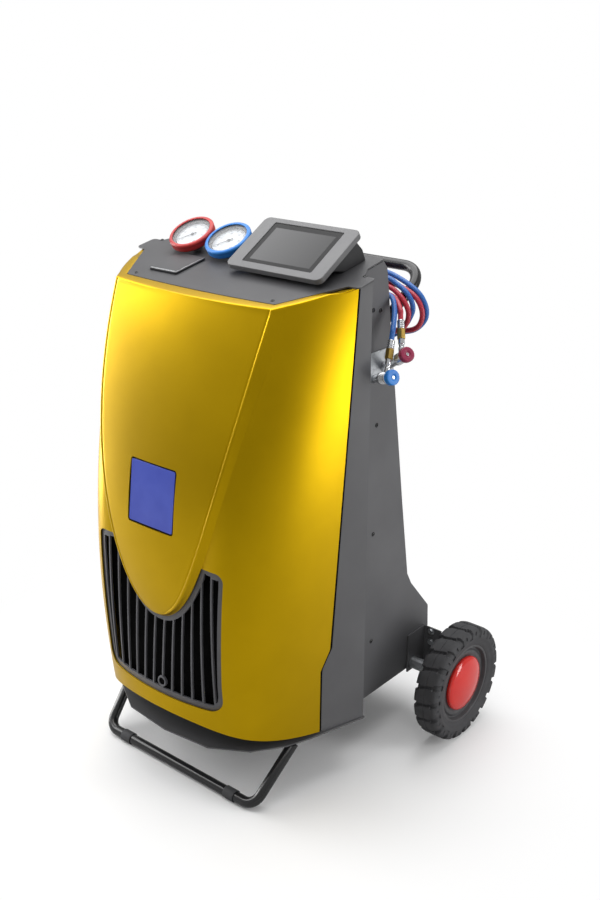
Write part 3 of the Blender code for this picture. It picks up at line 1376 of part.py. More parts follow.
def tyre_mesh(name):
    """A block-tread tyre lofted round its axis, its tread stepping in between the blocks."""
    pitch = math.tau / TREAD_BLOCKS
    tread = WHEEL_RADIUS / math.cos(pitch * TREAD_BLOCK_SHARE / 2)
    half = TYRE_WIDTH / 2
    bead = RIM_WIDTH / 2 - RIM_FLANGE - SEAT_GAP
    section = [(TYRE_BEAD_RADIUS + 2 * SEAT_GAP, -bead), (SIDEWALL_RADIUS, -half), (SHOULDER_RADIUS, -half + RIM_FLANGE / 4),
               (tread, -TREAD_HALF), (tread, TREAD_HALF), (SHOULDER_RADIUS, half - RIM_FLANGE / 4),
               (SIDEWALL_RADIUS, half), (TYRE_BEAD_RADIUS + 2 * SEAT_GAP, bead)]
    rings = []
    for block in range(TREAD_BLOCKS):
        edges = ((0.0, 0), (TREAD_BLOCK_SHARE, 0), (TREAD_BLOCK_SHARE + TREAD_SLOPE_SHARE, 1),
                 (1 - TREAD_SLOPE_SHARE, 1))
        for share, groove in edges:
            angle = pitch * (block - TREAD_BLOCK_SHARE / 2 + share)
            ring = []
            for radius, across in section:
                if groove and radius >= SHOULDER_RADIUS:
                    radius = radius - TREAD_DEPTH
                    across = across * (1 - TREAD_DEPTH / WHEEL_RADIUS)
                ring.append((radius * math.cos(angle), radius * math.sin(angle), across))
            rings.append(ring)
    shape = bmesh.new()
    verts = [[shape.verts.new(p) for p in ring] for ring in rings]
    for i, ring in enumerate(verts):
        ahead = verts[(i + 1) % len(verts)]
        for j in range(len(ring)):
            k = (j + 1) % len(ring)
            shape.faces.new((ring[j], ring[k], ahead[k], ahead[j]))
    bmesh.ops.recalc_face_normals(shape, faces=shape.faces)
    mesh = bpy.data.meshes.new(name)
    shape.to_mesh(mesh)
    shape.free()
    return mesh


def make_wheel(label, side, tyre_coat, rim_coat, cap_coat):
    """One wheel on its pivot: block-tread tyre, moulded rim and domed cap."""
    pivot = pivot_at(label + "_wheel_pivot", axes((side * WHEEL_X, AXLE_Y, AXLE_Z), (0, side, 0), (0, 0, 1)))
    tyre = link(label + "_tyre", tyre_mesh(label + "_tyre"), PARTS, None, pivot)
    dress(tyre, tyre_coat)
    flange = TYRE_BEAD_RADIUS + RIM_FLANGE
    edge = RIM_WIDTH / 2
    seat = edge - RIM_FLANGE
    barrel = TYRE_BEAD_RADIUS - RIM_WALL
    bore = AXLE_RADIUS + SEAT_GAP
    rim = [(flange, edge), (TYRE_BEAD_RADIUS, seat), (TYRE_BEAD_RADIUS, -seat), (flange, -edge),
           (barrel, -edge), (barrel, WEB_LEVEL - WEB_THICK), (HUB_RADIUS, WEB_LEVEL - WEB_THICK),
           (HUB_RADIUS, -HUB_INNER), (bore, -HUB_INNER), (bore, HUB_OUTER), (HUB_RADIUS, HUB_OUTER),
           (HUB_RADIUS, WEB_LEVEL), (barrel, WEB_LEVEL), (barrel, edge)]
    turned_piece(label + "_rim", rim, None, rim_coat, ring=True, steps=WHEEL_STEPS, parent=pivot)
    low = WEB_LEVEL + SEAT_GAP
    crest = low + CAP_SIDE + CAP_DOME
    cap = [(0, crest), (0.35 * CAP_RADIUS, crest - 0.10 * CAP_DOME), (0.68 * CAP_RADIUS, crest - 0.42 * CAP_DOME),
           (0.92 * CAP_RADIUS, low + CAP_SIDE), (CAP_RADIUS, low + 0.6 * CAP_SIDE), (CAP_RADIUS, low),
           (CAP_RADIUS - CAP_WALL, low), (CAP_RADIUS - CAP_WALL, low + 0.6 * CAP_SIDE - CAP_WALL),
           (0.68 * CAP_RADIUS, crest - 0.42 * CAP_DOME - CAP_WALL), (0, crest - CAP_WALL)]
    turned_piece(label + "_wheel_cap", cap, None, cap_coat, steps=WHEEL_STEPS, parent=pivot)


# Hoses and couplers
def make_coupler(label, knob, shares, body_coat, knob_coat, fitting_coat):
    """A quick coupler on its peg: body with a hose stem, turning knob and hose fitting."""
    face = Vector(knob)
    axis, stem = (Vector(share).normalized() for share in shares)
    collar = KNOB_LENGTH + SEAT_GAP
    body = [(0, -collar), (COUPLER_NECK, -collar), (COUPLER_NECK, -collar - KNOB_LENGTH / 4),
            (COUPLER_RADIUS, -collar - KNOB_LENGTH / 2), (COUPLER_RADIUS, -COUPLER_LENGTH + KNOB_LENGTH),
            (COUPLER_NECK + SEAT_GAP, -COUPLER_LENGTH + KNOB_LENGTH / 2), (COUPLER_NECK + SEAT_GAP, -COUPLER_LENGTH),
            (0, -COUPLER_LENGTH)]
    coupler = turned_piece(label + "_coupler", body, along(face, axis), body_coat, steps=SMALL_STEPS)
    root = face - axis * (collar + COUPLER_TEE)
    reach = COUPLER_RADIUS + TEE_LENGTH
    shape_with(coupler, rod_mesh("coupler_tee", TEE_RADIUS, 0, reach, SMALL_STEPS), along(root, stem), "UNION")
    pivot = pivot_at(label + "_knob_pivot", along(face, axis))
    edge = KNOB_RADIUS / 10
    knob_profile = [(0, 0), (KNOB_RADIUS - edge, 0), (KNOB_RADIUS, -edge), (KNOB_RADIUS, edge - KNOB_LENGTH),
                    (KNOB_RADIUS - edge, -KNOB_LENGTH), (0, -KNOB_LENGTH)]
    turned_piece(label + "_coupler_knob", knob_profile, None, knob_coat, steps=20, parent=pivot)
    foot = reach + SEAT_GAP
    low = root + stem * foot
    across = NUT_ACROSS / math.sqrt(3)
    nut = dress(link(label + "_hose_fitting", rod_mesh(label + "_nut", across, 0, NUT_LENGTH, 6), PARTS,
                     along(low, stem)), fitting_coat)
    shape_with(nut, rod_mesh("ferrule", FERRULE_RADIUS, NUT_LENGTH / 2, NUT_LENGTH + FERRULE_LENGTH, SMALL_STEPS),
               along(low, stem), "UNION")
    return low + stem * (NUT_LENGTH + FERRULE_LENGTH + SEAT_GAP), stem


def make_hose(name, route, end, direction, coat):
    """A service hose: from its outlet, over the handle arm in two loops, into its fitting."""
    lead = [tuple(end + direction * (4 * HOSE_RADIUS)), tuple(end + direction * (2 * HOSE_RADIUS)), tuple(end)]
    points = smooth_route(list(route) + lead, HOSE_POINTS)
    return tube_piece(name, [tuple(p) for p in points], HOSE_RADIUS, coat, resolution=2)


def make_coupler_bracket(coat):
    """The galvanised bracket on the cabinet side, with a peg for each coupler."""
    x = CABINET_HALF + PORT_OFFSET + PORT_SHEET / 2
    outline = [(PORT_FRONT_Y, PORT_LOW_Z), (PORT_REAR_Y, PORT_LOW_Z), (PORT_REAR_Y, PORT_HIGH_Z),
               (PORT_FRONT_Y, PORT_HIGH_Z)]
    plate = flat_piece("coupler_bracket", [[(p.x, p.y) for p in fillet(outline, PORT_SHEET, 2)]],
                       PORT_SHEET, side_on(x), coat)
    for knob, shares in ((BLUE_KNOB, BLUE_AXIS_SHARES), (RED_KNOB, RED_AXIS_SHARES)):
        axis = Vector(shares).normalized()
        end = Vector(knob) - axis * COUPLER_LENGTH
        length = (end.x - x) / axis.x + COUPLER_NECK
        peg = rod_mesh("coupler_peg", COUPLER_NECK, -length, -SEAT_GAP, SMALL_STEPS)
        shape_with(plate, peg, along(end, axis), "UNION")
    back = CABINET_HALF + PORT_OFFSET
    shape_with(plate, box_mesh("bracket_trim", (back - 2 * COUPLER_RADIUS, 2 * PORT_FRONT_Y, PORT_LOW_Z - OVERRUN),
                               (back, 2 * PORT_REAR_Y, PORT_HIGH_Z + OVERRUN)))
    return plate


def make_outlets(coat):
    """The bulkhead plate on the rear panel, with the two nipples the hoses leave from."""
    width = RED_OUTLET_X - BLUE_OUTLET_X + 4 * OUTLET_RADIUS
    middle = (RED_OUTLET_X + BLUE_OUTLET_X) / 2
    outline = fillet(rectangle(width, 4 * OUTLET_RADIUS), OUTLET_RADIUS, 3)
    plate = flat_piece("hose_outlets", [outline], PORT_SHEET,
                       slope_place(middle, OUTLET_Z, SEAT_GAP + PORT_SHEET / 2), coat)
    for x in (BLUE_OUTLET_X, RED_OUTLET_X):
        nipple = rod_mesh("outlet_nipple", OUTLET_RADIUS, rear_y(OUTLET_Z) - 3 * OUTLET_RADIUS,
                          OUTLET_END_Y - SEAT_GAP, SMALL_STEPS)
        shape_with(plate, nipple, along((x, 0, OUTLET_Z), (0, 1, 0)), "UNION")


def make_hose_hook(coat):
    """The bent hook on the rear panel that carries the left ends of the hose loops."""
    wall = rear_y(HOOK_Z)
    path = fillet([(HOOK_X, wall - OVERRUN, HOOK_Z), (HOOK_X, HOOK_REACH_Y, HOOK_Z),
                   (HOOK_X, HOOK_REACH_Y, HOOK_Z + OVERRUN)], 2 * HOOK_RADIUS, 3, closed=False)
    return tube_piece("hose_hook", path, HOOK_RADIUS, coat, resolution=2)


def make_mains(inlet_coat, switch_coat):
    """The mains module on the rear slope: inlet socket and switch well in one, and the rocker."""
    face = slope_place(MAINS_X, MAINS_Z, SEAT_GAP + PORT_SHEET / 2)
    body = flat_piece("mains_inlet", [rectangle(MAINS_WIDTH + MAINS_RIM, MAINS_HEIGHT + MAINS_RIM)],
                      PORT_SHEET, face, inlet_coat)
    core = [rectangle(MAINS_WIDTH - 2 * SEAT_GAP, MAINS_HEIGHT - 2 * SEAT_GAP)]
    block = outline_mesh("mains_block", core, MAINS_HEIGHT)
    shape_with(body, block, slope_place(MAINS_X, MAINS_Z, SEAT_GAP + PORT_SHEET / 2 - MAINS_HEIGHT / 2), "UNION")
    top = SEAT_GAP + PORT_SHEET
    socket = fillet(rectangle(SOCKET_WIDTH, SOCKET_HEIGHT), PORT_SHEET, 2)
    room = outline_mesh("socket_room", [socket], 2 * SOCKET_DEPTH)
    shape_with(body, room, slope_place(SOCKET_X, MAINS_Z, top))
    well = outline_mesh("switch_well", [rectangle(SWITCH_WIDTH, SWITCH_HEIGHT)], 2 * SWITCH_DEPTH)
    shape_with(body, well, slope_place(SWITCH_X, MAINS_Z, top))
    make_rocker(switch_coat)


def make_rocker(coat):
    """The rocker: a shallow V on its face that tips about its middle."""
    pivot = pivot_at("rocker_pivot", slope_place(SWITCH_X, MAINS_Z, SEAT_GAP))
    half = SWITCH_WIDTH / 2 - 2 * RUNNING_GAP
    rise = PORT_SHEET
    depth = SWITCH_DEPTH / 2
    profile = [(-half, 0), (-half / 2, -depth), (half / 2, -depth), (half, 0), (half, rise),
               (0, rise / 2), (-half, rise)]
    width = SWITCH_HEIGHT - 2 * RUNNING_GAP
    flat_piece("power_switch", [profile], width, axes((0, 0, 0), (1, 0, 0), (0, 0, 1)), coat, pivot)


# Parts inside the cabinet
def make_tank(tank_coat, scale_coat):
    """The refrigerant tank on its scale platform."""
    top = FLOOR_TOP_Z + SEAT_GAP + SCALE_FOOT + SCALE_THICK
    middle = Vector((TANK_X, TANK_Y, 0))
    plate = [(TANK_X + x, TANK_Y + y) for x, y in rectangle(SCALE_SIZE, SCALE_SIZE)]
    scale = flat_piece("scale_platform", [plate], SCALE_THICK, level_at(top - SCALE_THICK / 2), scale_coat)
    for sx in (-1, 1):
        for sy in (-1, 1):
            foot = middle + Vector((sx, sy, 0)) * (SCALE_SIZE / 2 - 2 * SCALE_THICK)
            leg = rod_mesh("scale_foot", SCALE_THICK / 2, FLOOR_TOP_Z + SEAT_GAP, top - SCALE_THICK / 2, 12)
            shape_with(scale, leg, Matrix.Translation(foot), "UNION")
    low = top + SEAT_GAP
    high = low + TANK_FOOT + TANK_HEIGHT
    body = high - TANK_DOME
    profile = [(0, high + TANK_DOME / 2), (0.14 * TANK_RADIUS, high + TANK_DOME / 2), (0.14 * TANK_RADIUS, high),
               (0.55 * TANK_RADIUS, high - 0.12 * TANK_DOME), (0.88 * TANK_RADIUS, high - 0.5 * TANK_DOME),
               (TANK_RADIUS, body), (TANK_RADIUS, low + TANK_FOOT + TANK_DOME),
               (0.88 * TANK_RADIUS, low + TANK_FOOT + 0.5 * TANK_DOME), (0.78 * TANK_RADIUS, low + TANK_FOOT),
               (0.78 * TANK_RADIUS, low), (0.72 * TANK_RADIUS, low), (0.72 * TANK_RADIUS, low + TANK_FOOT),
               (0, low + TANK_FOOT)]
    turned_piece("refrigerant_tank", profile, Matrix.Translation(middle), tank_coat, steps=24)


def make_pump(coat):
    """The vacuum pump: motor barrel, pump block and foot in one."""
    low = FLOOR_TOP_Z + SEAT_GAP
    axis_z = low + PUMP_FOOT_Z + PUMP_RADIUS
    foot = box_mesh("vacuum_pump", (PUMP_X - PUMP_LENGTH / 2, PUMP_Y - 0.7 * PUMP_RADIUS, low),
                    (PUMP_X + PUMP_LENGTH / 2, PUMP_Y + 0.7 * PUMP_RADIUS, axis_z - PUMP_RADIUS / 2))
    pump = dress(link("vacuum_pump", foot, PARTS), coat)
    barrel = rod_mesh("pump_barrel", PUMP_RADIUS, -0.3 * PUMP_LENGTH, PUMP_LENGTH / 2 - SHEET, 24)
    shape_with(pump, barrel, along((PUMP_X, PUMP_Y, axis_z), (1, 0, 0)), "UNION")
    block = box_mesh("pump_block", (PUMP_X - PUMP_LENGTH / 2 + SHEET, PUMP_Y - 0.9 * PUMP_RADIUS, axis_z - PUMP_RADIUS),
                     (PUMP_X - 0.15 * PUMP_LENGTH, PUMP_Y + 0.9 * PUMP_RADIUS, axis_z + 0.9 * PUMP_RADIUS))
    shape_with(pump, block, None, "UNION")


def make_condenser(coat):
    """The condenser behind the grille: a core with upright fins, standing on the floor."""
    low = FLOOR_TOP_Z + SEAT_GAP
    pitch = 2 * CONDENSER_HALF / CONDENSER_FINS
    back = CONDENSER_Y + CONDENSER_DEPTH
    root = CONDENSER_Y + CONDENSER_DEPTH / 3
    outline = [(CONDENSER_HALF, back), (-CONDENSER_HALF, back)]
    for i in range(CONDENSER_FINS):
        x = -CONDENSER_HALF + pitch * i
        outline += [(x, CONDENSER_Y), (x + pitch / 3, CONDENSER_Y), (x + pitch / 3, root), (x + pitch, root)]
    outline[-1] = (CONDENSER_HALF, root)
    height = CONDENSER_HIGH_Z - low
    return flat_piece("condenser", [outline], height, level_at(low + height / 2), coat)


def make_fan(shroud_coat, rotor_coat):
    """The condenser fan: shroud ring with its motor spider, and the bladed rotor."""
    low = FLOOR_TOP_Z + SEAT_GAP
    front = CONDENSER_Y + CONDENSER_DEPTH + SEAT_GAP
    depth = 2 * FAN_HUB
    ring_outer = [(p.x, p.y) for p in fillet([(-CONDENSER_HALF, low), (CONDENSER_HALF, low),
                                              (CONDENSER_HALF, CONDENSER_HIGH_Z), (-CONDENSER_HALF, CONDENSER_HIGH_Z)], 0)]
    hole = circle(FAN_RADIUS + 3 * SHEET, 28, 0.0, FAN_Z)
    shroud = flat_piece("fan_shroud", [ring_outer, hole], SHROUD_SHEET, face_on(front + SHROUD_SHEET / 2), shroud_coat)
    far = front + depth
    spider = box_mesh("motor_arm", (-FAN_RADIUS - 5 * SHEET, far, FAN_Z - MOTOR_RADIUS / 4),
                      (FAN_RADIUS + 5 * SHEET, far + 2 * SHEET, FAN_Z + MOTOR_RADIUS / 4))
    shape_with(shroud, spider, None, "UNION")
    for side in (-1, 1):
        x = side * (FAN_RADIUS + 4 * SHEET)
        low_x, high_x = sorted((x, x + side * 2 * SHEET))
        post = box_mesh("motor_post", (low_x, front + SHROUD_SHEET / 2, FAN_Z - MOTOR_RADIUS / 3),
                        (high_x, far + 3 * SHEET, FAN_Z + MOTOR_RADIUS / 3))
        shape_with(shroud, post, None, "UNION")
    motor = rod_mesh("fan_motor", MOTOR_RADIUS, 0, MOTOR_LENGTH, 20)
    shape_with(shroud, motor, along((0, far + SHEET / 2, FAN_Z), (0, 1, 0)), "UNION")
    shaft = rod_mesh("motor_shaft", SHEET, -FAN_HUB, SHEET, 10)
    shape_with(shroud, shaft, along((0, far + SHEET / 2, FAN_Z), (0, 1, 0)), "UNION")
    make_rotor(front + SHROUD_SHEET / 2 + SHEET, far - SHEET, rotor_coat)


def make_rotor(front, rear, coat):
    """The rotor: a hub with twisted blades, bored for the motor shaft."""
    pivot = pivot_at("fan_pivot", axes((0, (front + rear) / 2, FAN_Z), (1, 0, 0), (0, 0, 1)))
    half = (rear - front) / 2
    bore = SHEET + SEAT_GAP
    hub = [(FAN_HUB, half), (FAN_HUB, -half), (bore, -half), (bore, half)]
    rotor = turned_piece("fan_rotor", hub, None, coat, ring=True, steps=20, parent=pivot)
    for i in range(FAN_BLADES):
        blade = outline_mesh("fan_blade", [[(FAN_HUB - SHEET, -FAN_HUB / 2), (FAN_RADIUS * 0.96, -FAN_HUB),
                                            (FAN_RADIUS, 0), (FAN_RADIUS * 0.9, FAN_HUB), (FAN_HUB - SHEET, FAN_HUB / 2)]],
                             FAN_BLADE_THICK)
        twist = Matrix.Rotation(math.tau * i / FAN_BLADES, 4, "Z") @ Matrix.Rotation(FAN_TWIST, 4, "X")
        tool = shape_with(rotor, blade, None, "UNION")
        tool.parent = pivot
        tool.matrix_local = twist


def make_manifold(coat):
    """The valve manifold on the rear panel, with a row of solenoid coils."""
    wall = min(rear_y(MANIFOLD_Z), rear_y(MANIFOLD_Z + MANIFOLD_HEIGHT)) - SHEET - 2 * SEAT_GAP
    block = box_mesh("manifold_block", (MANIFOLD_X - MANIFOLD_WIDTH / 2, wall - MANIFOLD_DEPTH, MANIFOLD_Z),
                     (MANIFOLD_X + MANIFOLD_WIDTH / 2, wall, MANIFOLD_Z + MANIFOLD_HEIGHT))
    manifold = dress(link("manifold_block", block, PARTS), coat)
    for i in range(SOLENOID_COUNT):
        x = MANIFOLD_X + MANIFOLD_WIDTH * ((i + 0.5) / SOLENOID_COUNT - 0.5)
        coil = rod_mesh("solenoid", SOLENOID_RADIUS, MANIFOLD_Z, MANIFOLD_Z + MANIFOLD_HEIGHT + SOLENOID_HEIGHT, 14)
        shape_with(manifold, coil, Matrix.Translation((x, wall - MANIFOLD_DEPTH / 2, 0)), "UNION")


def build():
    """Makes every piece of the station."""
    yellow = material("yellow_moulding", (0.74, 0.46, 0.012), 0.35)
    powder = material("grey_powder_coat", (0.085, 0.085, 0.087), 0.55)
    plate_paint = material("plate_paint", (0.11, 0.11, 0.115), 0.5)
    black = material("black_plastic", (0.02, 0.02, 0.022), 0.45)
    gloss = material("gloss_black_tube", (0.012, 0.012, 0.013), 0.22)
    grille_grey = material("grille_grey", (0.11, 0.11, 0.12), 0.5)
    blue_gloss = material("badge_blue", (0.09, 0.11, 0.44), 0.15)
    bezel_grey = material("bezel_grey", (0.25, 0.25, 0.25), 0.4)
    screen_dark = material("screen_glass", (0.06, 0.06, 0.065), 0.12)
    steel = material("zinc_steel", (0.45, 0.45, 0.46), 0.35, 0.9)
    rubber = material("tyre_rubber", (0.025, 0.025, 0.025), 0.8)
    cap_red = material("cap_red", (0.70, 0.08, 0.05), 0.2)
    brass = material("brass", (0.42, 0.27, 0.08), 0.3, 1.0)
    red_rubber = material("red_rubber", (0.45, 0.03, 0.03), 0.5)
    blue_rubber = material("blue_rubber", (0.02, 0.19, 0.60), 0.5)
    dial_white = material("dial_white", (0.75, 0.76, 0.78), 0.5)
    glass = material("gauge_glass", (0.8, 0.8, 0.8), 0.05)
    red_hose = material("red_hose", (0.55, 0.04, 0.06), 0.45)
    blue_hose = material("blue_hose", (0.04, 0.19, 0.52), 0.45)
    paper = material("paper", (0.8, 0.8, 0.78), 0.8)
    enamel = material("tank_enamel", (0.35, 0.36, 0.37), 0.4)

    make_base_tray(powder)
    make_front_panel(yellow)
    make_badge(blue_gloss, black)
    make_grille(grille_grey)
    make_column("left_column", -1, powder)
    make_column("right_column", 1, powder)
    make_side_panel("left_side_panel", -1, powder)
    make_side_panel("right_side_panel", 1, powder)
    make_rear_panel(powder)
    make_control_plate(plate_paint)
    common = {"case": black, "dial": dial_white, "glass": glass, "needle": black}
    make_gauge("red", RED_GAUGE_X, dict(common, boot=red_rubber))
    make_gauge("blue", BLUE_GAUGE_X, dict(common, boot=blue_rubber))
    make_display(bezel_grey, screen_dark, black)
    make_printer(black, plate_paint, paper)
    make_handle(gloss)
    make_foot(gloss, black)
    make_axle(steel)
    make_axle_bracket("left_axle_bracket", -1, powder)
    make_axle_bracket("right_axle_bracket", 1, powder)
    make_wheel("left", -1, rubber, black, cap_red)
    make_wheel("right", 1, rubber, black, cap_red)
    make_coupler_bracket(steel)
    blue_end, blue_stem = make_coupler("blue", BLUE_KNOB, (BLUE_AXIS_SHARES, BLUE_STEM_SHARES), steel, blue_rubber, brass)
    red_end, red_stem = make_coupler("red", RED_KNOB, (RED_AXIS_SHARES, RED_STEM_SHARES), steel, red_rubber, brass)
    make_hose("blue_hose", BLUE_ROUTE, blue_end, blue_stem, blue_hose)
    make_hose("red_hose", RED_ROUTE, red_end, red_stem, red_hose)
    make_outlets(brass)
    make_hose_hook(gloss)
    make_mains(black, cap_red)
    make_tank(enamel, steel)
    make_pump(enamel)
    make_condenser(steel)
    make_fan(powder, black)
    make_manifold(steel)


for leftover in list(bpy.data.objects):
    bpy.data.objects.remove(leftover, do_unlink=True)
PARTS = bpy.data.collections.new("air_conditioning_recharge_station")
CUTTERS = bpy.data.collections.new("cutters")
for new_group in (PARTS, CUTTERS):
    bpy.context.scene.collection.children.link(new_group)
STATION = bpy.data.objects.new("station", None)
PARTS.objects.link(STATION)
STATION.location = (0, -(AXLE_Y + WHEEL_RADIUS + skin_depth(0.0, SKIRT_MID_Z)) / 2, 0)
bpy.context.view_layer.update()
build()
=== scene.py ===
# %% [markdown]
# An air conditioning recharge station is a sheet-steel cabinet on two tyres and a tube foot.
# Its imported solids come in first, as a fixed frame in metres, and every piece made here is
# worked out with numpy from the same sizes, so that each one lands where its solid stands.

# %% Load the frame
import math
import bmesh
import bpy
import numpy as np
from mathutils import Matrix


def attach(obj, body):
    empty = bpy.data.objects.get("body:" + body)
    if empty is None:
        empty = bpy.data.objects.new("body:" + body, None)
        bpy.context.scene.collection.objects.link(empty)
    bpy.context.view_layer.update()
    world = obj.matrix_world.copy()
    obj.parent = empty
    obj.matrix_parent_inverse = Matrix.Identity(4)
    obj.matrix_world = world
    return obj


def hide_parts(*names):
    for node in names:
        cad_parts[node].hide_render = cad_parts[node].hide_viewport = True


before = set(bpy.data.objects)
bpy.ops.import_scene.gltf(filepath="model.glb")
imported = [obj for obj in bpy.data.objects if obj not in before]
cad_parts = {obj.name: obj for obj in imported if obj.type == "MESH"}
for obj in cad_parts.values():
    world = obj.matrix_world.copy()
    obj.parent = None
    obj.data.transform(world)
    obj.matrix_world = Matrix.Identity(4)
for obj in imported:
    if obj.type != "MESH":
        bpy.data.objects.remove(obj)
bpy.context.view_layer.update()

SHIFT = np.array([0.0, 0.013218, 0.0])
SIDES = ((-1, "left"), (1, "right"))

# %% [markdown]
# The photograph's viewing angle was worked out from the tyres, the tubes and the cabinet's
# straight edges. The camera keeps that place and lens, and needs no shift.

# %% Camera
CAMERA_PLACE = np.array([1.54225933, -1.73284806, 1.54472574]) + SHIFT
AZIMUTH, ELEVATION = math.radians(40.0398), math.radians(21.2252)
SENSOR_MM, LENS_MM = 36.0, 46.72


def linked(name, data):
    """A new object in the scene."""
    thing = bpy.data.objects.new(name, data)
    bpy.context.scene.collection.objects.link(thing)
    return thing


def stood(thing, x, y, z, place):
    """Gives an object its three axes and its place."""
    thing.matrix_world = Matrix([(x[i], y[i], z[i], place[i]) for i in range(3)] + [(0, 0, 0, 1)])


lens = bpy.data.cameras.new("camera")
lens.sensor_width, lens.lens = SENSOR_MM, LENS_MM
camera = linked("camera", lens)
right = (math.cos(AZIMUTH), math.sin(AZIMUTH), 0.0)
back = (math.cos(ELEVATION) * math.sin(AZIMUTH), -math.cos(ELEVATION) * math.cos(AZIMUTH),
        math.sin(ELEVATION))
stood(camera, right, np.cross(back, right), back, CAMERA_PLACE)
bpy.context.scene.camera = camera
bpy.context.scene.view_settings.view_transform = "Standard"

# %% [markdown]
# Every surface below is a grid of points, a profile turned round an axis, a line carried along
# a path, or an outline given a depth. These helpers work on whole arrays. A placement is an
# origin with three axes, and a point goes from its own plane to the object's frame with it.

# %% Shapes from arrays
def unit(v):
    """Each vector divided by its own length."""
    v = np.asarray(v, float)
    return v / np.linalg.norm(v, axis=-1, keepdims=True)


def placed(origin, across, up):
    """A placement: its x along across, its z square to both, its y completing the set."""
    x = unit(across)
    z = unit(np.cross(x, up))
    return np.asarray(origin, float), np.array([x, np.cross(z, x), z])


def leaning(spot, tilt, lift=0.0):
    """A placement tilted about x and lifted along its own normal."""
    normal = np.array([0, -math.sin(tilt), math.cos(tilt)])
    axes = np.array([[1, 0, 0], [0, math.cos(tilt), math.sin(tilt)], normal])
    return np.array(spot, float) + normal * lift, axes


def along(origin, axis, side=(0.31, 0.17, 0.93)):
    """A placement whose z runs along an axis."""
    z = unit(axis)
    x = unit(np.cross(side, z))
    return np.asarray(origin, float), np.array([x, np.cross(z, x), z])


def put(points, where):
    """Local points times the axes, plus the origin."""
    return points if where is None else np.asarray(points, float) @ where[1] + where[0]


def quads(rows, columns, wrap=False):
    """The grid's faces, four corners each, the last column meeting the first if it wraps."""
    i = np.arange(rows - 1)[:, None] * columns
    j = np.arange(columns if wrap else columns - 1)[None, :]
    k = (j + 1) % columns
    return np.stack([i + j, i + k, i + columns + k, i + columns + j], -1).reshape(-1, 4)


def sheet_of(points, wrap=False):
    """A patch through a grid of points."""
    rows, columns = points.shape[:2]
    return points.reshape(-1, 3), quads(rows, columns, wrap).tolist()


def softened(profile, radius, steps=4):
    """Rounds each inner corner P of a line: (1-t)^2 A + 2t(1-t) P + t^2 B, A and B a radius away."""
    p = np.asarray(profile, float)
    legs = np.linalg.norm(np.diff(p, axis=0), axis=1)
    t = np.linspace(0, 1, steps + 1)[:, None]
    made = [p[:1]]
    for i in range(1, len(p) - 1):
        reach = min(radius, 0.45 * legs[i - 1], 0.45 * legs[i])
        a = p[i] + (p[i - 1] - p[i]) * reach / legs[i - 1]
        b = p[i] + (p[i + 1] - p[i]) * reach / legs[i]
        made.append((1 - t) ** 2 * a + 2 * t * (1 - t) * p[i] + t ** 2 * b)
    return np.vstack(made + [p[-1:]])


def turned(profile, where=None, steps=96, soft=0.0006, ring=False):
    """A profile (r, h) turned about z: (r cos a, r sin a, h). A ring's profile closes on itself."""
    p = np.asarray(profile, float)
    if ring:
        middle = (p[0] + p[-1]) / 2
        p = np.vstack([middle, p, middle])
    p = softened(p, soft)
    angle = np.linspace(0, 2 * np.pi, steps, endpoint=False)
    grid = np.stack([p[:, :1] * np.cos(angle), p[:, :1] * np.sin(angle), np.repeat(p[:, 1:], steps, 1)], -1)
    return sheet_of(put(grid, where), wrap=True)


def swept(path, radius, sides=28, guide=(0.35, 0.6, -0.72)):
    """A circle carried along a path: P + r (cos a S + sin a T), S and T square to the path.

    The first and last rings close to points, so the tube is one closed skin.
    """
    path = np.asarray(path, float)
    heading = unit(np.gradient(path, axis=0))
    side = unit(np.cross(heading, guide))
    top = np.cross(side, heading)
    radii = np.broadcast_to(np.asarray(radius, float), (len(path),))
    stations = np.r_[0, np.arange(len(path)), len(path) - 1]
    radii = np.r_[0, radii, 0]
    angle = np.linspace(0, 2 * np.pi, sides, endpoint=False)
    sideways, upwards = side[stations][:, None], top[stations][:, None]
    spread = np.cos(angle)[:, None] * sideways + np.sin(angle)[:, None] * upwards
    return sheet_of(path[stations][:, None] + radii[:, None, None] * spread, wrap=True)


def rounded(outline, radius, steps=6):
    """A closed outline with its corners rounded."""
    o = np.asarray(outline, float)
    radii = np.broadcast_to(np.asarray(radius, float), (len(o),))
    t = np.linspace(0, 1, steps + 1)[:, None]
    made = []
    for i in range(len(o)):
        before, here, after = o[i - 1], o[i], o[(i + 1) % len(o)]
        if radii[i] <= 0:
            made.append(here[None])
            continue
        u, v = unit(before - here), unit(after - here)
        half = math.acos(float(np.clip(u @ v, -1, 1))) / 2
        reach = min(radii[i] / math.tan(half), 0.48 * np.linalg.norm(before - here),
                    0.48 * np.linalg.norm(after - here))
        centre = here + unit(u + v) * reach / math.cos(half)
        a, b = here + u * reach - centre, here + v * reach - centre
        turn = math.atan2(a[0] * b[1] - a[1] * b[0], float(a @ b)) * t
        made.append(centre + a * np.cos(turn) + np.array([-a[1], a[0]]) * np.sin(turn))
    return np.vstack(made)


def oblong(width, height):
    """A rectangle about the origin."""
    return np.array([(-1, -1), (1, -1), (1, 1), (-1, 1)]) * (width / 2, height / 2)


def hexagon(radius):
    """A regular hexagon about the origin."""
    corner = np.linspace(0, 2 * np.pi, 6, endpoint=False)
    return np.c_[radius * np.cos(corner), radius * np.sin(corner)]


def prism(outline, low, high, where=None):
    """A flat outline given a depth from low to high."""
    o = np.asarray(outline, float)
    n = len(o)
    points = np.vstack([np.c_[o, np.full(n, low)], np.c_[o, np.full(n, high)]])
    k = np.arange(n)
    sides = np.stack([k, (k + 1) % n, (k + 1) % n + n, k + n], 1).tolist()
    return put(points, where), sides + [k[::-1].tolist(), (k + n).tolist()]
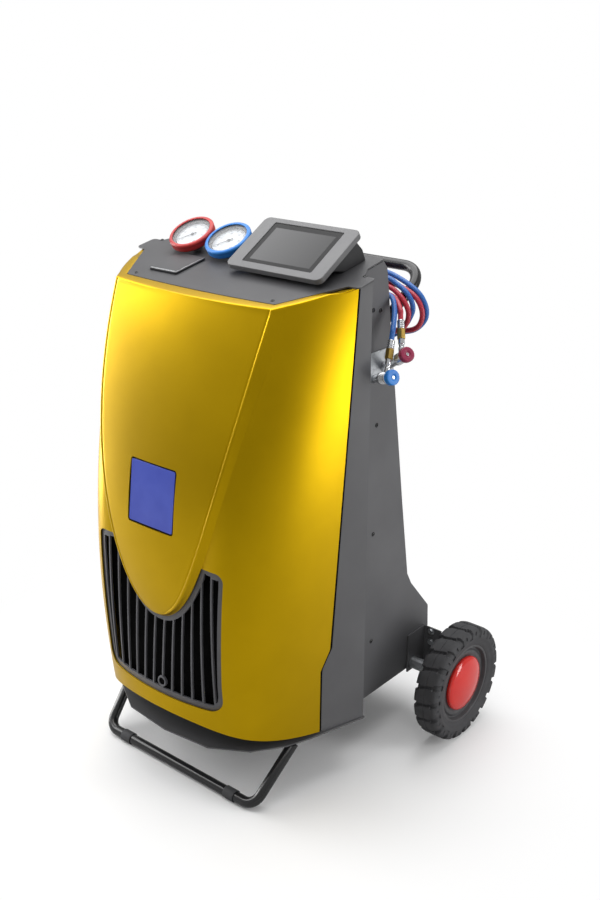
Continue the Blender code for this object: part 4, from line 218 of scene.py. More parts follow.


# %% [markdown]
# A piece joins its patches into one mesh, welds its poles, turns its faces outwards and smooths
# all but the sharp edges. It rides on its body and stands for its solids.

# %% Pieces from patches
MERGE = 2e-6


def cleaned(mesh):
    """Merges doubled points and turns the faces outwards."""
    shape = bmesh.new()
    shape.from_mesh(mesh)
    bmesh.ops.remove_doubles(shape, verts=shape.verts, dist=MERGE)
    bmesh.ops.recalc_face_normals(shape, faces=shape.faces)
    shape.to_mesh(mesh)
    shape.free()
    return mesh


def thing_of(name, patches):
    """One mesh object from several patches."""
    points = np.vstack([p for p, _ in patches]) + SHIFT
    faces, start = [], 0
    for p, polygons in patches:
        faces += [[k + start for k in polygon] for polygon in polygons]
        start += len(p)
    mesh = bpy.data.meshes.new(name)
    mesh.from_pydata(points.tolist(), [], faces)
    return linked(name, cleaned(mesh))


def faces_back(thing):
    """Whether a surface's faces point mostly to the rear."""
    return sum(p.normal.y * p.area for p in thing.data.polygons) > 0


def walled(thing, thickness, offset=-1):
    """Gives a surface a wall, behind its faces unless the offset says in front."""
    wall = thing.modifiers.new("wall", "SOLIDIFY")
    wall.thickness, wall.offset = thickness, offset


def smoothed(thing, angle=35):
    """Smooth faces with the creases above an angle kept sharp."""
    mesh = thing.data
    mesh.polygons.foreach_set("use_smooth", np.ones(len(mesh.polygons), bool))
    mesh.set_sharp_from_angle(angle=math.radians(angle))


def finished(thing, finish, slot, body="station", stands_for=(), bevel=0.0, angle=35):
    """Gives a piece its edges, its finish, its body and the solids it stands for."""
    smoothed(thing, angle)
    if bevel:
        edge = thing.modifiers.new("edge", "BEVEL")
        edge.width = bevel
        edge.segments = 3
        edge.limit_method = "ANGLE"
        edge.angle_limit = math.radians(angle)
        edge.harden_normals = True
    thing.data.materials.clear()
    thing.data.materials.append(finish)
    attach(thing, body)
    if stands_for:
        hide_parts(*([stands_for] if isinstance(stands_for, str) else stands_for))
    return thing


def piece(name, patches, finish, slot, body="station", stands_for=(), bevel=0.0, angle=35):
    """A finished piece from its patches."""
    return finished(thing_of(name, patches), finish, slot, body, stands_for, bevel, angle)


def carved(thing, tool, operation="DIFFERENCE"):
    """Cuts with a tool and keeps only the result."""
    cut = thing.modifiers.new("cut", "BOOLEAN")
    cut.object = tool
    cut.operation = operation
    cut.solver = "EXACT"
    bpy.context.view_layer.update()
    solid = bpy.data.meshes.new_from_object(thing.evaluated_get(bpy.context.evaluated_depsgraph_get()))
    thing.modifiers.clear()
    thing.data = solid
    bpy.data.objects.remove(tool)
    return thing


# %% [markdown]
# Colours are written as sRGB hex and turned to linear light. One function adds a node, and
# each finish starts from what the real one is and how its surface was made.

# %% Colour and nodes
def linear(code, alpha=1.0):
    """sRGB hex to linear: c/12.92 below 0.04045, else ((c+0.055)/1.055)^2.4."""
    c = np.array([int(code[i:i + 2], 16) for i in (1, 3, 5)]) / 255
    return (*np.where(c <= 0.04045, c / 12.92, ((c + 0.055) / 1.055) ** 2.4).tolist(), alpha)


def add(tree, kind, sockets=None, **settings):
    """Adds a node: sockets are values or the outputs to link, settings are its own properties."""
    made = tree.nodes.new("ShaderNode" + kind)
    for key, value in settings.items():
        setattr(made, key, value)
    for key, value in (sockets or {}).items():
        if isinstance(value, bpy.types.NodeSocket):
            tree.links.new(value, made.inputs[key])
        else:
            made.inputs[key].default_value = value
    return made


def blank(name):
    """A material with an empty tree: its tree, its shader and its object coordinates."""
    made = bpy.data.materials.new(name)
    made.use_nodes = True
    tree = made.node_tree
    shader = tree.nodes["Principled BSDF"]
    spot = add(tree, "TexCoord").outputs["Object"]
    return made, tree, shader, spot


def blend_colours(tree, factor, low, high):
    """A ramp from one hex colour to another."""
    ramp = add(tree, "ValToRGB", {"Fac": factor})
    ramp.color_ramp.elements[0].color = linear(low)
    ramp.color_ramp.elements[1].color = linear(high)
    ramp.color_ramp.elements[0].position = 0.3
    ramp.color_ramp.elements[1].position = 0.7
    return ramp.outputs["Color"]


def surfaced(tree, shader, tint, colours, relief, strength, depth, sheen=None, gloss=None):
    """Links a finish: a tint between two colours, a bump from a relief, a gloss from a sheen."""
    tree.links.new(blend_colours(tree, tint, *colours), shader.inputs["Base Color"])
    bump = add(tree, "Bump", {"Strength": strength, "Distance": depth, "Height": relief})
    tree.links.new(bump.outputs["Normal"], shader.inputs["Normal"])
    if gloss:
        spread = add(tree, "MapRange", {"Value": sheen, "To Min": gloss[0], "To Max": gloss[1]})
        tree.links.new(spread.outputs["Result"], shader.inputs["Roughness"])


def moulded(name, low, high, roughness, grain_mm, depth, cloud_mm=60.0, coat=0.0, metallic=0.0, ior=1.5):
    """A moulded, painted or coated skin: broad clouds of colour, uneven gloss, fine grain.

    low and high are its hex colours, grain_mm the size of its grain, depth its height in mm.
    """
    made, tree, shader, spot = blank(name)
    cloud = add(tree, "TexNoise", {"Vector": spot, "Scale": 1000 / cloud_mm, "Detail": 4.0}).outputs["Fac"]
    grain = add(tree, "TexNoise", {"Vector": spot, "Scale": 1000 / grain_mm, "Detail": 3.0}).outputs["Fac"]
    surfaced(tree, shader, cloud, (low, high), grain, 0.6, depth / 1000, grain, roughness)
    shader.inputs["Metallic"].default_value = metallic
    shader.inputs["IOR"].default_value = ior
    shader.inputs["Coat Weight"].default_value = coat
    shader.inputs["Coat Roughness"].default_value = 0.08
    return made


# %% [markdown]
# The front is ABS moulded in one piece and lacquered in a pearl yellow: its gloss comes from
# the lacquer, and its gold cast from a little metal flake. The cabinet is folded steel under a
# fine textured powder coat, the tubes are gloss stoved enamel, and the tyres are solid rubber.

# %% Finishes
LACQUER = moulded("lacquered_yellow_abs", "#C9A200", "#CFA702", (0.30, 0.35), 1.2, 0.003, 90.0,
                  metallic=0.90)
POWDER = moulded("textured_powder_coat", "#58585A", "#606062", (0.42, 0.56), 1.1, 0.040, 120.0)
PLATE = moulded("satin_powder_coat", "#464648", "#4F4F51", (0.36, 0.48), 0.9, 0.030, 90.0)
ENAMEL = moulded("stoved_black_enamel", "#1A1A1B", "#202021", (0.22, 0.27), 1.6, 0.002, 50.0, coat=0.25)
NYLON = moulded("grained_black_nylon", "#1B1B1D", "#242426", (0.45, 0.62), 0.8, 0.030, 40.0)
GRILLE = moulded("moulded_grey_abs", "#5C5C60", "#67676B", (0.38, 0.50), 0.9, 0.020, 60.0)
BADGE = moulded("gloss_blue_acrylic", "#4152BE", "#4B5DC8", (0.14, 0.20), 2.0, 0.003, 45.0, coat=0.35)
BEZEL = moulded("satin_grey_abs", "#68686A", "#707071", (0.36, 0.46), 0.8, 0.015, 60.0)
CAP = moulded("gloss_red_abs", "#D4180E", "#DE2216", (0.10, 0.13), 2.0, 0.003, 40.0, coat=0.5)
RIM = moulded("moulded_grey_nylon", "#3E3E40", "#4A4A4C", (0.35, 0.50), 0.9, 0.025, 30.0)
RED_RUBBER = moulded("red_nitrile_boot", "#B3262A", "#C4322F", (0.30, 0.45), 0.9, 0.020, 25.0)
BLUE_RUBBER = moulded("blue_nitrile_boot", "#1C74CC", "#2A86DA", (0.30, 0.45), 0.9, 0.020, 25.0)
TANK = moulded("grey_tank_enamel", "#8E9094", "#9A9CA0", (0.30, 0.45), 1.2, 0.020, 60.0)
PAPER = moulded("thermal_paper", "#E6E6E2", "#F0F0EC", (0.75, 0.90), 0.5, 0.010, 20.0)
DIAL = moulded("printed_white_dial", "#D4D8DC", "#E2E5E8", (0.40, 0.55), 0.6, 0.004, 20.0)
KNOB_RED = moulded("crimson_moulded_knob", "#8E2546", "#9A2C50", (0.28, 0.40), 0.9, 0.010, 25.0)
# Near-black matte for painted shade: it darkens the joints, the drain hole and the inside of the vent.
PAINTED_SHADE = moulded("painted_shade_black", "#040404", "#090909", (0.92, 1.0), 1.5, 0.300, 20.0, ior=1.15)
INK = moulded("black_printing_ink", "#17181A", "#202124", (0.45, 0.55), 0.5, 0.004, 20.0)
SURROUND = moulded("smoked_acrylic", "#1C1C1D", "#222223", (0.22, 0.26), 2.0, 0.002, 50.0, ior=1.22)


def plated(name, low, high, roughness, spangle_mm, metallic=1.0):
    """A metal plated or turned: its crystals or tool marks vary colour and gloss cell by cell."""
    made, tree, shader, spot = blank(name)
    cell = add(tree, "TexVoronoi", {"Vector": spot, "Scale": 1000 / spangle_mm}, feature="F1")
    haze = add(tree, "TexNoise", {"Vector": spot, "Scale": 300 / spangle_mm, "Detail": 5.0})
    mixed = add(tree, "Math", {0: cell.outputs["Color"], 1: 0.5, 2: haze.outputs["Fac"]},
                operation="MULTIPLY_ADD")
    surfaced(tree, shader, mixed.outputs[0], (low, high), haze.outputs["Fac"], 0.3, 0.00003,
             mixed.outputs[0], roughness)
    shader.inputs["Metallic"].default_value = metallic
    return made


ZINC = plated("galvanised_steel", "#8F9296", "#C4C7CA", (0.28, 0.46), 5.0)
NICKEL = plated("nickel_plated_brass", "#B8BABC", "#DADCDE", (0.12, 0.24), 1.5)
BRASS = plated("turned_brass", "#A88338", "#C9A85A", (0.22, 0.36), 1.5)
STEEL = plated("bright_rolled_steel", "#B4B6B8", "#D6D8DA", (0.18, 0.32), 1.0)


DUST_SCALE, PORE_SCALE = 28.0, 900.0  # clouds of dust 36 mm across, pores of 1.1 mm


def rubber(name, low, high):
    """Vulcanised rubber: dull, a little dusty in clouds, with fine mould marks."""
    made, tree, shader, spot = blank(name)
    dust = add(tree, "TexNoise", {"Vector": spot, "Scale": DUST_SCALE, "Detail": 8.0, "Roughness": 0.65})
    pores = add(tree, "TexNoise", {"Vector": spot, "Scale": PORE_SCALE, "Detail": 2.0})
    dusty = dust.outputs["Fac"]
    surfaced(tree, shader, dusty, (low, high), pores.outputs["Fac"], 0.5, 0.00006, dusty, (0.55, 0.85))
    shader.inputs["Specular IOR Level"].default_value = 0.35
    return made


TYRE = rubber("vulcanised_tyre_rubber", "#3A3A3C", "#4A4A4C")


BRAID_LAY, BRAID_SCALE = 0.785, 2.2  # 45 degrees, 7 ridges to a turn of the hose


def hose_finish(name, low, high):
    """Hose rubber over a braid: the braid telegraphs as two crossed sets of fine ridges.

    The wave runs on the hose's own UV, one turn across and one circumference along.
    """
    made, tree, shader, _ = blank(name)
    uv = add(tree, "TexCoord").outputs["UV"]
    heights = []
    for turn in (BRAID_LAY, -BRAID_LAY):
        lay = add(tree, "Mapping", {"Vector": uv, "Rotation": (0, 0, turn)})
        wave = add(tree, "TexWave", {"Vector": lay.outputs["Vector"], "Scale": BRAID_SCALE},
                   bands_direction="X")
        heights.append(wave.outputs["Fac"])
    both = add(tree, "Math", {0: heights[0], 1: heights[1]}, operation="MULTIPLY")
    surfaced(tree, shader, both.outputs[0], (low, high), both.outputs[0], 0.35, 0.0002)
    shader.inputs["Roughness"].default_value = 0.38
    shader.inputs["Coat Weight"].default_value = 0.2
    return made


BLUE_HOSE = hose_finish("blue_service_hose", "#2A62AE", "#3A78C4")
RED_HOSE = hose_finish("red_service_hose", "#B02A3C", "#C63A4A")

SMEAR_SCALE = 60.0  # wiping marks 17 mm across
GLASS, glass_tree, glass_shader, glass_spot = blank("clear_gauge_glass")
glass_shader.inputs["Base Color"].default_value = linear("#F4F6F8")
glass_shader.inputs["Roughness"].default_value = 0.03
glass_shader.inputs["Alpha"].default_value = 0.14
smear = add(glass_tree, "TexNoise", {"Vector": glass_spot, "Scale": SMEAR_SCALE, "Detail": 3.0})
glass_bump = add(glass_tree, "Bump", {"Strength": 0.05, "Distance": 0.0001, "Height": smear.outputs["Fac"]})
glass_tree.links.new(glass_bump.outputs["Normal"], glass_shader.inputs["Normal"])

# The lit display is a grey field under smoked acrylic; its paling towards its upper left is a painted
# reflection.
LIT, lit_tree, lit_shader, lit_spot = blank("backlit_display_painted_reflection")
level = add(lit_tree, "SeparateXYZ", {"Vector": lit_spot})
fall = add(lit_tree, "Math", {0: level.outputs["X"], 1: -3.0, 2: 0.85}, operation="MULTIPLY_ADD")
lit_tree.links.new(blend_colours(lit_tree, fall.outputs[0], "#3C3C3D", "#5A5A5B"),
                   lit_shader.inputs["Base Color"])
lit_shader.inputs["Roughness"].default_value = 0.25
lit_shader.inputs["Specular IOR Level"].default_value = 0.2
print("finishes:", len(bpy.data.materials))

# %% [markdown]
# The two service hoses come first, because their room is checked. Each is a rubber hose about
# two metres long that leaves its brass nipple, makes two loops round the hook and ends in its
# coupler. The route's points are listed, and a smooth curve runs through them.

# %% Hoses
HOSE_RADIUS = 0.0052
HOSE_POINTS, HOSE_SIDES = 900, 20
BLUE_ROUTE = (
    (0.100, 0.1182, 0.845), (0.100, 0.135, 0.844), (0.085, 0.158, 0.852),
    (0.040, 0.170, 0.885), (-0.010, 0.164, 0.915), (-0.062, 0.154, 0.940),
    (-0.100, 0.145, 0.970), (-0.104, 0.140, 1.004), (-0.076, 0.138, 1.029),
    (-0.020, 0.137, 1.036), (0.060, 0.137, 1.034), (0.140, 0.137, 1.036),
    (0.197, 0.137, 1.033), (0.239, 0.137, 1.021), (0.270, 0.137, 1.006),
    (0.286, 0.137, 0.991), (0.295, 0.137, 0.971), (0.292, 0.137, 0.951),
    (0.273, 0.137, 0.930), (0.245, 0.136, 0.919), (0.190, 0.133, 0.910),
    (0.110, 0.130, 0.905), (0.020, 0.127, 0.908), (-0.045, 0.125, 0.924),
    (-0.080, 0.122, 0.950), (-0.089, 0.118, 0.981), (-0.066, 0.115, 1.008),
    (-0.010, 0.113, 1.019), (0.070, 0.113, 1.022), (0.150, 0.113, 1.028),
    (0.212, 0.113, 1.029), (0.240, 0.113, 1.019), (0.262, 0.113, 1.006),
    (0.275, 0.113, 0.991), (0.279, 0.113, 0.974), (0.272, 0.1125, 0.955),
    (0.262, 0.1125, 0.940), (0.244, 0.112, 0.921), (0.205, 0.1085, 0.906), (0.140, 0.100, 0.905),
    (0.095, 0.0915, 0.924), (0.078, 0.0865, 0.955), (0.098, 0.0845, 0.984),
    (0.145, 0.084, 0.999), (0.200, 0.084, 1.006), (0.232, 0.084, 1.004),
    (0.249, 0.0824, 1.001), (0.263, 0.0715, 0.991), (0.276, 0.056, 0.9765),
)
RED_ROUTE = (
    (0.160, 0.1184, 0.845), (0.160, 0.136, 0.843), (0.150, 0.164, 0.852),
    (0.110, 0.186, 0.875), (0.050, 0.190, 0.900), (-0.020, 0.180, 0.925),
    (-0.085, 0.163, 0.950), (-0.123, 0.146, 0.980), (-0.121, 0.130, 1.010),
    (-0.088, 0.125, 1.023), (-0.010, 0.125, 1.024), (0.070, 0.125, 1.023),
    (0.150, 0.125, 1.022), (0.210, 0.125, 1.018), (0.253, 0.125, 1.008),
    (0.277, 0.1245, 0.996), (0.291, 0.124, 0.978), (0.294, 0.124, 0.958),
    (0.284, 0.124, 0.938), (0.258, 0.1242, 0.9265), (0.205, 0.1225, 0.921),
    (0.120, 0.118, 0.918), (0.030, 0.115, 0.922), (-0.035, 0.113, 0.936),
    (-0.068, 0.110, 0.958), (-0.072, 0.106, 0.982), (-0.050, 0.103, 0.999),
    (0.010, 0.101, 1.006), (0.090, 0.101, 1.010), (0.160, 0.101, 1.015),
    (0.222, 0.1035, 1.0145), (0.249, 0.1035, 1.0035), (0.267, 0.102, 0.989),
    (0.277, 0.101, 0.971), (0.275, 0.101, 0.952), (0.262, 0.101, 0.935),
    (0.238, 0.1005, 0.926), (0.200, 0.099, 0.922), (0.155, 0.097, 0.926),
    (0.124, 0.0955, 0.945), (0.122, 0.095, 0.970), (0.145, 0.0955, 0.991),
    (0.190, 0.0960, 1.002), (0.228, 0.0955, 1.001), (0.253, 0.0915, 0.995),
)
SEAT = 0.0003
KNOB_RADIUS, KNOB_LENGTH = 0.0150, 0.0125
BODY_RADIUS, BODY_NECK, BODY_LENGTH = 0.0115, 0.0085, 0.055
TEE_OFFSET, TEE_RADIUS, TEE_LENGTH = 0.0125, 0.0062, 0.0255
NUT_ACROSS, NUT_LENGTH = 0.0150, 0.020
FERRULE_RADIUS, FERRULE_LENGTH = 0.0072, 0.018
COUPLERS = {
    "blue": ((0.335, -0.024, 0.8805), (0.90, -0.28, 0.30), (-0.225, 0.511, 0.827), BLUE_ROUTE),
    "red": ((0.335, 0.020, 0.9160), (0.78, -0.36, 0.50), (-0.38, 0.44, 0.814), RED_ROUTE),
}


def stem_of(label):
    """A coupler's stem: its root on the body, its direction, and where the hose meets it."""
    knob, axis, stem, _ = COUPLERS[label]
    axis, stem = unit(axis), unit(stem)
    root = np.array(knob) - axis * (KNOB_LENGTH + SEAT + TEE_OFFSET)
    low = root + stem * (BODY_RADIUS + TEE_LENGTH + SEAT)
    return root, low, stem, low + stem * (NUT_LENGTH + FERRULE_LENGTH + SEAT)


def smooth_route(places, count):
    """A Catmull-Rom curve through the places, sampled evenly along its length."""
    n = np.asarray(places, float)
    t = np.linspace(0, 1, 24, endpoint=False)[None, :, None]
    p0, p1, p2, p3 = (n[k:len(n) - 3 + k, None] for k in range(4))
    dense = 0.5 * (2 * p1 + (p2 - p0) * t + (2 * p0 - 5 * p1 + 4 * p2 - p3) * t ** 2
                   + (3 * p1 - p0 - 3 * p2 + p3) * t ** 3)
    dense = np.vstack([n[:1], dense.reshape(-1, 3), n[-2:]])
    run = np.r_[0, np.cumsum(np.linalg.norm(np.diff(dense, axis=0), axis=1))]
    stations = np.linspace(0, run[-1], count)
    return np.column_stack([np.interp(stations, run, dense[:, k]) for k in range(3)]), float(run[-1])


def hose(label, finish):
    """A tube along its route, with its UV one turn round and one circumference along."""
    *_, stem, end = stem_of(label)
    route = list(COUPLERS[label][3]) + [end + stem * k * HOSE_RADIUS for k in (4, 2, 0)]
    path, length = smooth_route(route, HOSE_POINTS)
    points, faces = swept(path, HOSE_RADIUS, HOSE_SIDES)
    mesh = bpy.data.meshes.new(label + "_service_hose")
    mesh.from_pydata((points + SHIFT).tolist(), [], faces)
    rows = len(points) // HOSE_SIDES
    i, j = np.divmod(np.arange((rows - 1) * HOSE_SIDES), HOSE_SIDES)
    u = np.stack([j, j + 1, j + 1, j], 1) / HOSE_SIDES
    v = np.stack([i, i, i + 1, i + 1], 1) * (length / HOSE_POINTS) / (2 * math.pi * HOSE_RADIUS)
    mesh.uv_layers.new(name="UVMap").data.foreach_set("uv", np.stack([u, v], -1).ravel())
    thing = linked(label + "_service_hose", cleaned(mesh))
    finished(thing, finish, label + "_hose", stands_for=label + "_hose", angle=80)
    print(label, "hose length", round(length, 3))
    return thing, path + SHIFT, length


blue_hose, blue_path, blue_length = hose("blue", BLUE_HOSE)
red_hose, red_path, red_length = hose("red", RED_HOSE)

# %% [markdown]
# Each coupler is nickel plated: a knurled sleeve and a stem with a rounded hexagon nut in
# brass, a crimped steel ferrule, and a coloured hand knob with a bright pin at its middle.

# %% Couplers
def coupler(label, knob_finish):
    """The turned pieces of one coupler, each on its own axis."""
    knob, axis, _, _ = COUPLERS[label]
    root, low, stem, _ = stem_of(label)
    where = along(knob, axis)
    collar = KNOB_LENGTH + SEAT
    profile = [(0, -collar), (BODY_NECK, -collar), (BODY_NECK, -collar - 0.003),
               (BODY_RADIUS, -collar - 0.006)]
    for k in range(7):
        z = -collar - 0.008 - k * 0.0022
        profile += [(BODY_RADIUS, z), (BODY_RADIUS - 0.0006, z - 0.0006),
                    (BODY_RADIUS - 0.0006, z - 0.0012), (BODY_RADIUS, z - 0.0018)]
    profile += [(BODY_RADIUS, -BODY_LENGTH + KNOB_LENGTH),
                (BODY_NECK + SEAT, -BODY_LENGTH + KNOB_LENGTH / 2),
                (BODY_NECK + SEAT, -BODY_LENGTH), (0, -BODY_LENGTH)]
    tee = [(0, 0), (TEE_RADIUS, 0), (TEE_RADIUS, BODY_RADIUS + 0.008),
           (TEE_RADIUS - 0.0012, BODY_RADIUS + 0.009),
           (TEE_RADIUS - 0.0012, BODY_RADIUS + 0.014), (TEE_RADIUS, BODY_RADIUS + 0.015),
           (TEE_RADIUS, BODY_RADIUS + TEE_LENGTH), (0, BODY_RADIUS + TEE_LENGTH)]
    sleeve = piece(label + "_coupler_sleeve",
                   [turned(profile, where, 64, 0.0004), turned(tee, along(root, stem), 40, 0.0004)],
                   NICKEL, "zinc_steel", stands_for=label + "_coupler")
    grip = KNOB_RADIUS / 10
    steps = 120
    profile = softened([(0, -0.0014), (0.0052, -0.0014), (0.0066, 0), (KNOB_RADIUS - grip, 0),
                        (KNOB_RADIUS, -grip), (KNOB_RADIUS, grip - KNOB_LENGTH),
                        (KNOB_RADIUS - grip, -KNOB_LENGTH), (0, -KNOB_LENGTH)], 0.0008)
    angle = np.linspace(0, 2 * np.pi, steps, endpoint=False)
    flute = 1 - 0.022 * (profile[:, :1] > KNOB_RADIUS * 0.85) * (0.5 - 0.5 * np.cos(angle * 20))
    grid = np.stack([profile[:, :1] * flute * np.cos(angle), profile[:, :1] * flute * np.sin(angle),
                     np.repeat(profile[:, 1:], steps, 1)], -1)
    wheel = piece(label + "_hand_knob", [sheet_of(put(grid, where), wrap=True)], knob_finish,
                  label + "_rubber",
                  body=label + "_knob", stands_for=label + "_coupler_knob")
    pin_line = [(0, -0.0006), (0.0030, -0.0006), (0.0036, -0.0020), (0, -0.0020)]
    pin = piece(label + "_knob_pin", [turned(pin_line, where, 32, 0.0004)], NICKEL, "zinc_steel",
                body=label + "_knob")
    seat = along(low, stem)
    across = NUT_ACROSS / math.sqrt(3)
    nut = prism(hexagon(across), 0, NUT_LENGTH, seat)
    fitting = piece(label + "_hose_nut", [nut], BRASS, "brass", stands_for=label + "_hose_fitting",
                    bevel=0.0009)
    crimp = [(0, NUT_LENGTH), (FERRULE_RADIUS - 0.0006, NUT_LENGTH)]
    for k in range(4):
        z = NUT_LENGTH + 0.002 + k * 0.004
        crimp += [(FERRULE_RADIUS, z), (FERRULE_RADIUS, z + 0.0022), (FERRULE_RADIUS - 0.0007, z + 0.0028),
                  (FERRULE_RADIUS - 0.0007, z + 0.0034)]
    crimp += [(FERRULE_RADIUS - 0.0010, NUT_LENGTH + FERRULE_LENGTH), (0, NUT_LENGTH + FERRULE_LENGTH)]
    ferrule = piece(label + "_hose_ferrule", [turned(crimp, seat, 48, 0.0003)], NICKEL, "zinc_steel")
    return [sleeve, wheel, pin, fitting, ferrule]


blue_set = coupler("blue", BLUE_RUBBER)
red_set = coupler("red", KNOB_RED)
tuple(blue_path[0])
[tuple(p) for p in blue_path]
tuple(red_path[0])
[tuple(p) for p in red_path]

# %% [markdown]
# The moulded front is one surface of two parameters. Up its height the plan section is an even
# polynomial that turns from the broad front into the sides. A shield stands proud of it, with a
# soft ridge, and its bevel falls to the skin. Rows run from the shield's middle over the ridge
# and out to the border, so the ridge is a line of the grid and stays crisp.

# %% Front surface
SKIN = 0.003
SKIRT_MID_Z, SKIRT_DROP, SKIN_TOP_Z = 0.1887, 0.0639, 1.030
PLATE_SLOPE = math.radians(10.8)
PLATE_FRONT_Y, PLATE_FRONT_Z = -0.200, 1.0314
TIP_Z, TOP_Z = 0.3984, 1.0235
CORNER = 6 / 14


def plate_top(y):
    """Height of the control plate: z0 + tan(slope) (y - y0)."""
    return PLATE_FRONT_Z + math.tan(PLATE_SLOPE) * (np.asarray(y) - PLATE_FRONT_Y)


def through_three(a, b, c, u):
    """The parabola through a, b and c at u = 0, a half and 1."""
    return a * (2 * u - 1) * (u - 1) + b * 4 * u * (1 - u) + c * u * (2 * u - 1)


def skin_level(z):
    """0 at the skirt's corner, 1 at the top."""
    low = SKIRT_MID_Z - SKIRT_DROP
    return (z - low) / (SKIN_TOP_Z - low)


def skin_half(z):
    """Half the width at a height."""
    return 0.260 + 0.024 * skin_level(z)


def skin_depth(share, z):
    """y = front + (rear - front)(a t^2 + b t^4 + (1-a-b) t^8), t the share of the half width."""
    u = skin_level(z)
    front = 0.1557 * through_three(0.0, 0.306, 1.0, u) - 0.3595
    rear = -0.138 + 0.072 * u
    a, b = through_three(0.523, -0.609, -1.58, u), through_three(-0.146, 1.018, 2.871, u)
    t2 = share ** 2
    return np.maximum(front + (rear - front) * (a * t2 + b * t2 ** 2 + (1 - a - b) * t2 ** 4), -0.35643)


def skin_point(share, z):
    """A point of the skin."""
    return np.stack([share * skin_half(z), skin_depth(share, z), z], -1)


def skin_top(share):
    """The upper edge: 4 mm under the control plate, found in four steps."""
    z = np.full_like(share, SKIN_TOP_Z)
    for _ in range(4):
        z = plate_top(skin_depth(share, z)) - 0.004
    return z


def ridge(s):
    """The shield's ridge from its tip (0) to its top corner (1)."""
    s = np.asarray(s, float)
    width = 0.207 * (1.3537 * s - 0.7599 * s ** 2 + 1.0560 * s ** 3 - 0.6498 * s ** 4)
    setback = -0.3434 * s ** 2 + 1.5401 * s ** 4 - 0.1967 * s ** 6
    return np.stack([width, -0.3454 + 0.1261 * setback, TIP_Z + (TOP_Z - TIP_Z) * s ** 2], -1)


def shield_foot(s):
    """Where the bevel meets the skin, square to the ridge: its share of the width, its height."""
    s = np.asarray(s, float)
    along_ridge = ridge(s + SKIN) - ridge(s - SKIN)
    away = unit(np.stack([along_ridge[:, 2], 0 * s, -along_ridge[:, 0]], -1))
    away = np.where((s <= 1e-6)[:, None], (0.0, 0.0, -1.0), away)
    away = np.where((s >= 1)[:, None], (1.0, 0.0, 0.0), away)
    spot = ridge(s) + away * (0.005 + 0.008 * s)[:, None]
    return np.maximum(spot[:, 0], 0) / skin_half(spot[:, 2]), spot[:, 2]


def column_front(z):
    """The steel column's front edge, with its jog above the foot."""
    return np.interp(z, (0.1218, 0.270, 0.312, 1.048), (-0.136, -0.136, -0.112, -0.061))


def rear_share(z):
    """The share at which the skin stops 7 mm short of the column, by halving."""
    low, high = np.full_like(z, 0.8), np.full_like(z, 1.1)
    for _ in range(30):
        middle = (low + high) / 2
        short = skin_depth(middle, z) < column_front(z) - 0.0070
        low, high = np.where(short, middle, low), np.where(short, high, middle)
    return low


def border(s):
    """The skin's border: along the skirt from the middle, then up beside the column."""
    base = np.array([SKIRT_MID_Z - SKIRT_DROP])
    low_share = rear_share(base)[0]
    top = skin_top(rear_share(np.array([SKIN_TOP_Z])))[0]
    share = low_share * np.minimum(s / CORNER, 1)
    skirt = SKIRT_MID_Z - SKIRT_DROP * (0.623 * share ** 2 + 0.377 * share ** 4)
    climb = np.interp(s * 14 - 6, range(9), (0.0, 0.155, 0.203, 0.30, 0.44, 0.58, 0.72, 0.86, 1.0))
    low = SKIRT_MID_Z - SKIRT_DROP * (0.623 * low_share ** 2 + 0.377 * low_share ** 4)
    z = np.where(s <= CORNER, skirt, low + (top - low) * climb)
    return np.where(s <= CORNER, share, rear_share(z)), z


# %% [markdown]
# The ridge and the bevel's foot are softened with small curves, and the top edge rolls over to
# the control plate. Solidify gives the moulding its wall, and the vent and the badge's pocket
# are then cut through it.

# %% Moulded front
def eased(a, p, b, steps=5):
    """Columns that round the corner p between a and b: (1-t)^2 a + 2t(1-t) p + t^2 b."""
    t = np.linspace(0, 1, steps)[None, :, None]
    return (1 - t) ** 2 * a[:, None] + 2 * t * (1 - t) * p[:, None] + t ** 2 * b[:, None]


PLATE_NARROW, PLATE_WIDE, PLATE_BOW, PLATE_SIDE_Y = 0.195, 0.268, 0.006, -0.082


def plate_edge(share):
    """The control plate's edge: along the front to a half, then up the slanted side."""
    x = PLATE_NARROW * np.minimum(share / 0.5, 1)
    climb = np.clip((share - 0.5) / 0.5, 0, 1)
    y = PLATE_FRONT_Y - PLATE_BOW * (1 - (x / PLATE_NARROW) ** 2)
    return np.stack([x + (PLATE_WIDE - PLATE_NARROW) * climb, y + (PLATE_SIDE_Y - PLATE_FRONT_Y) * climb],
                    -1)


BEAD_HEIGHT, BEAD_WIDTH, VALLEY_AWAY, VALLEY_WIDTH = 0.0009, 0.0030, 0.0066, 0.0016
RIDGE_SOFT, FOOT_SOFT = 0.0030, 0.0016
SHIELD_COLUMNS = 25 + 5


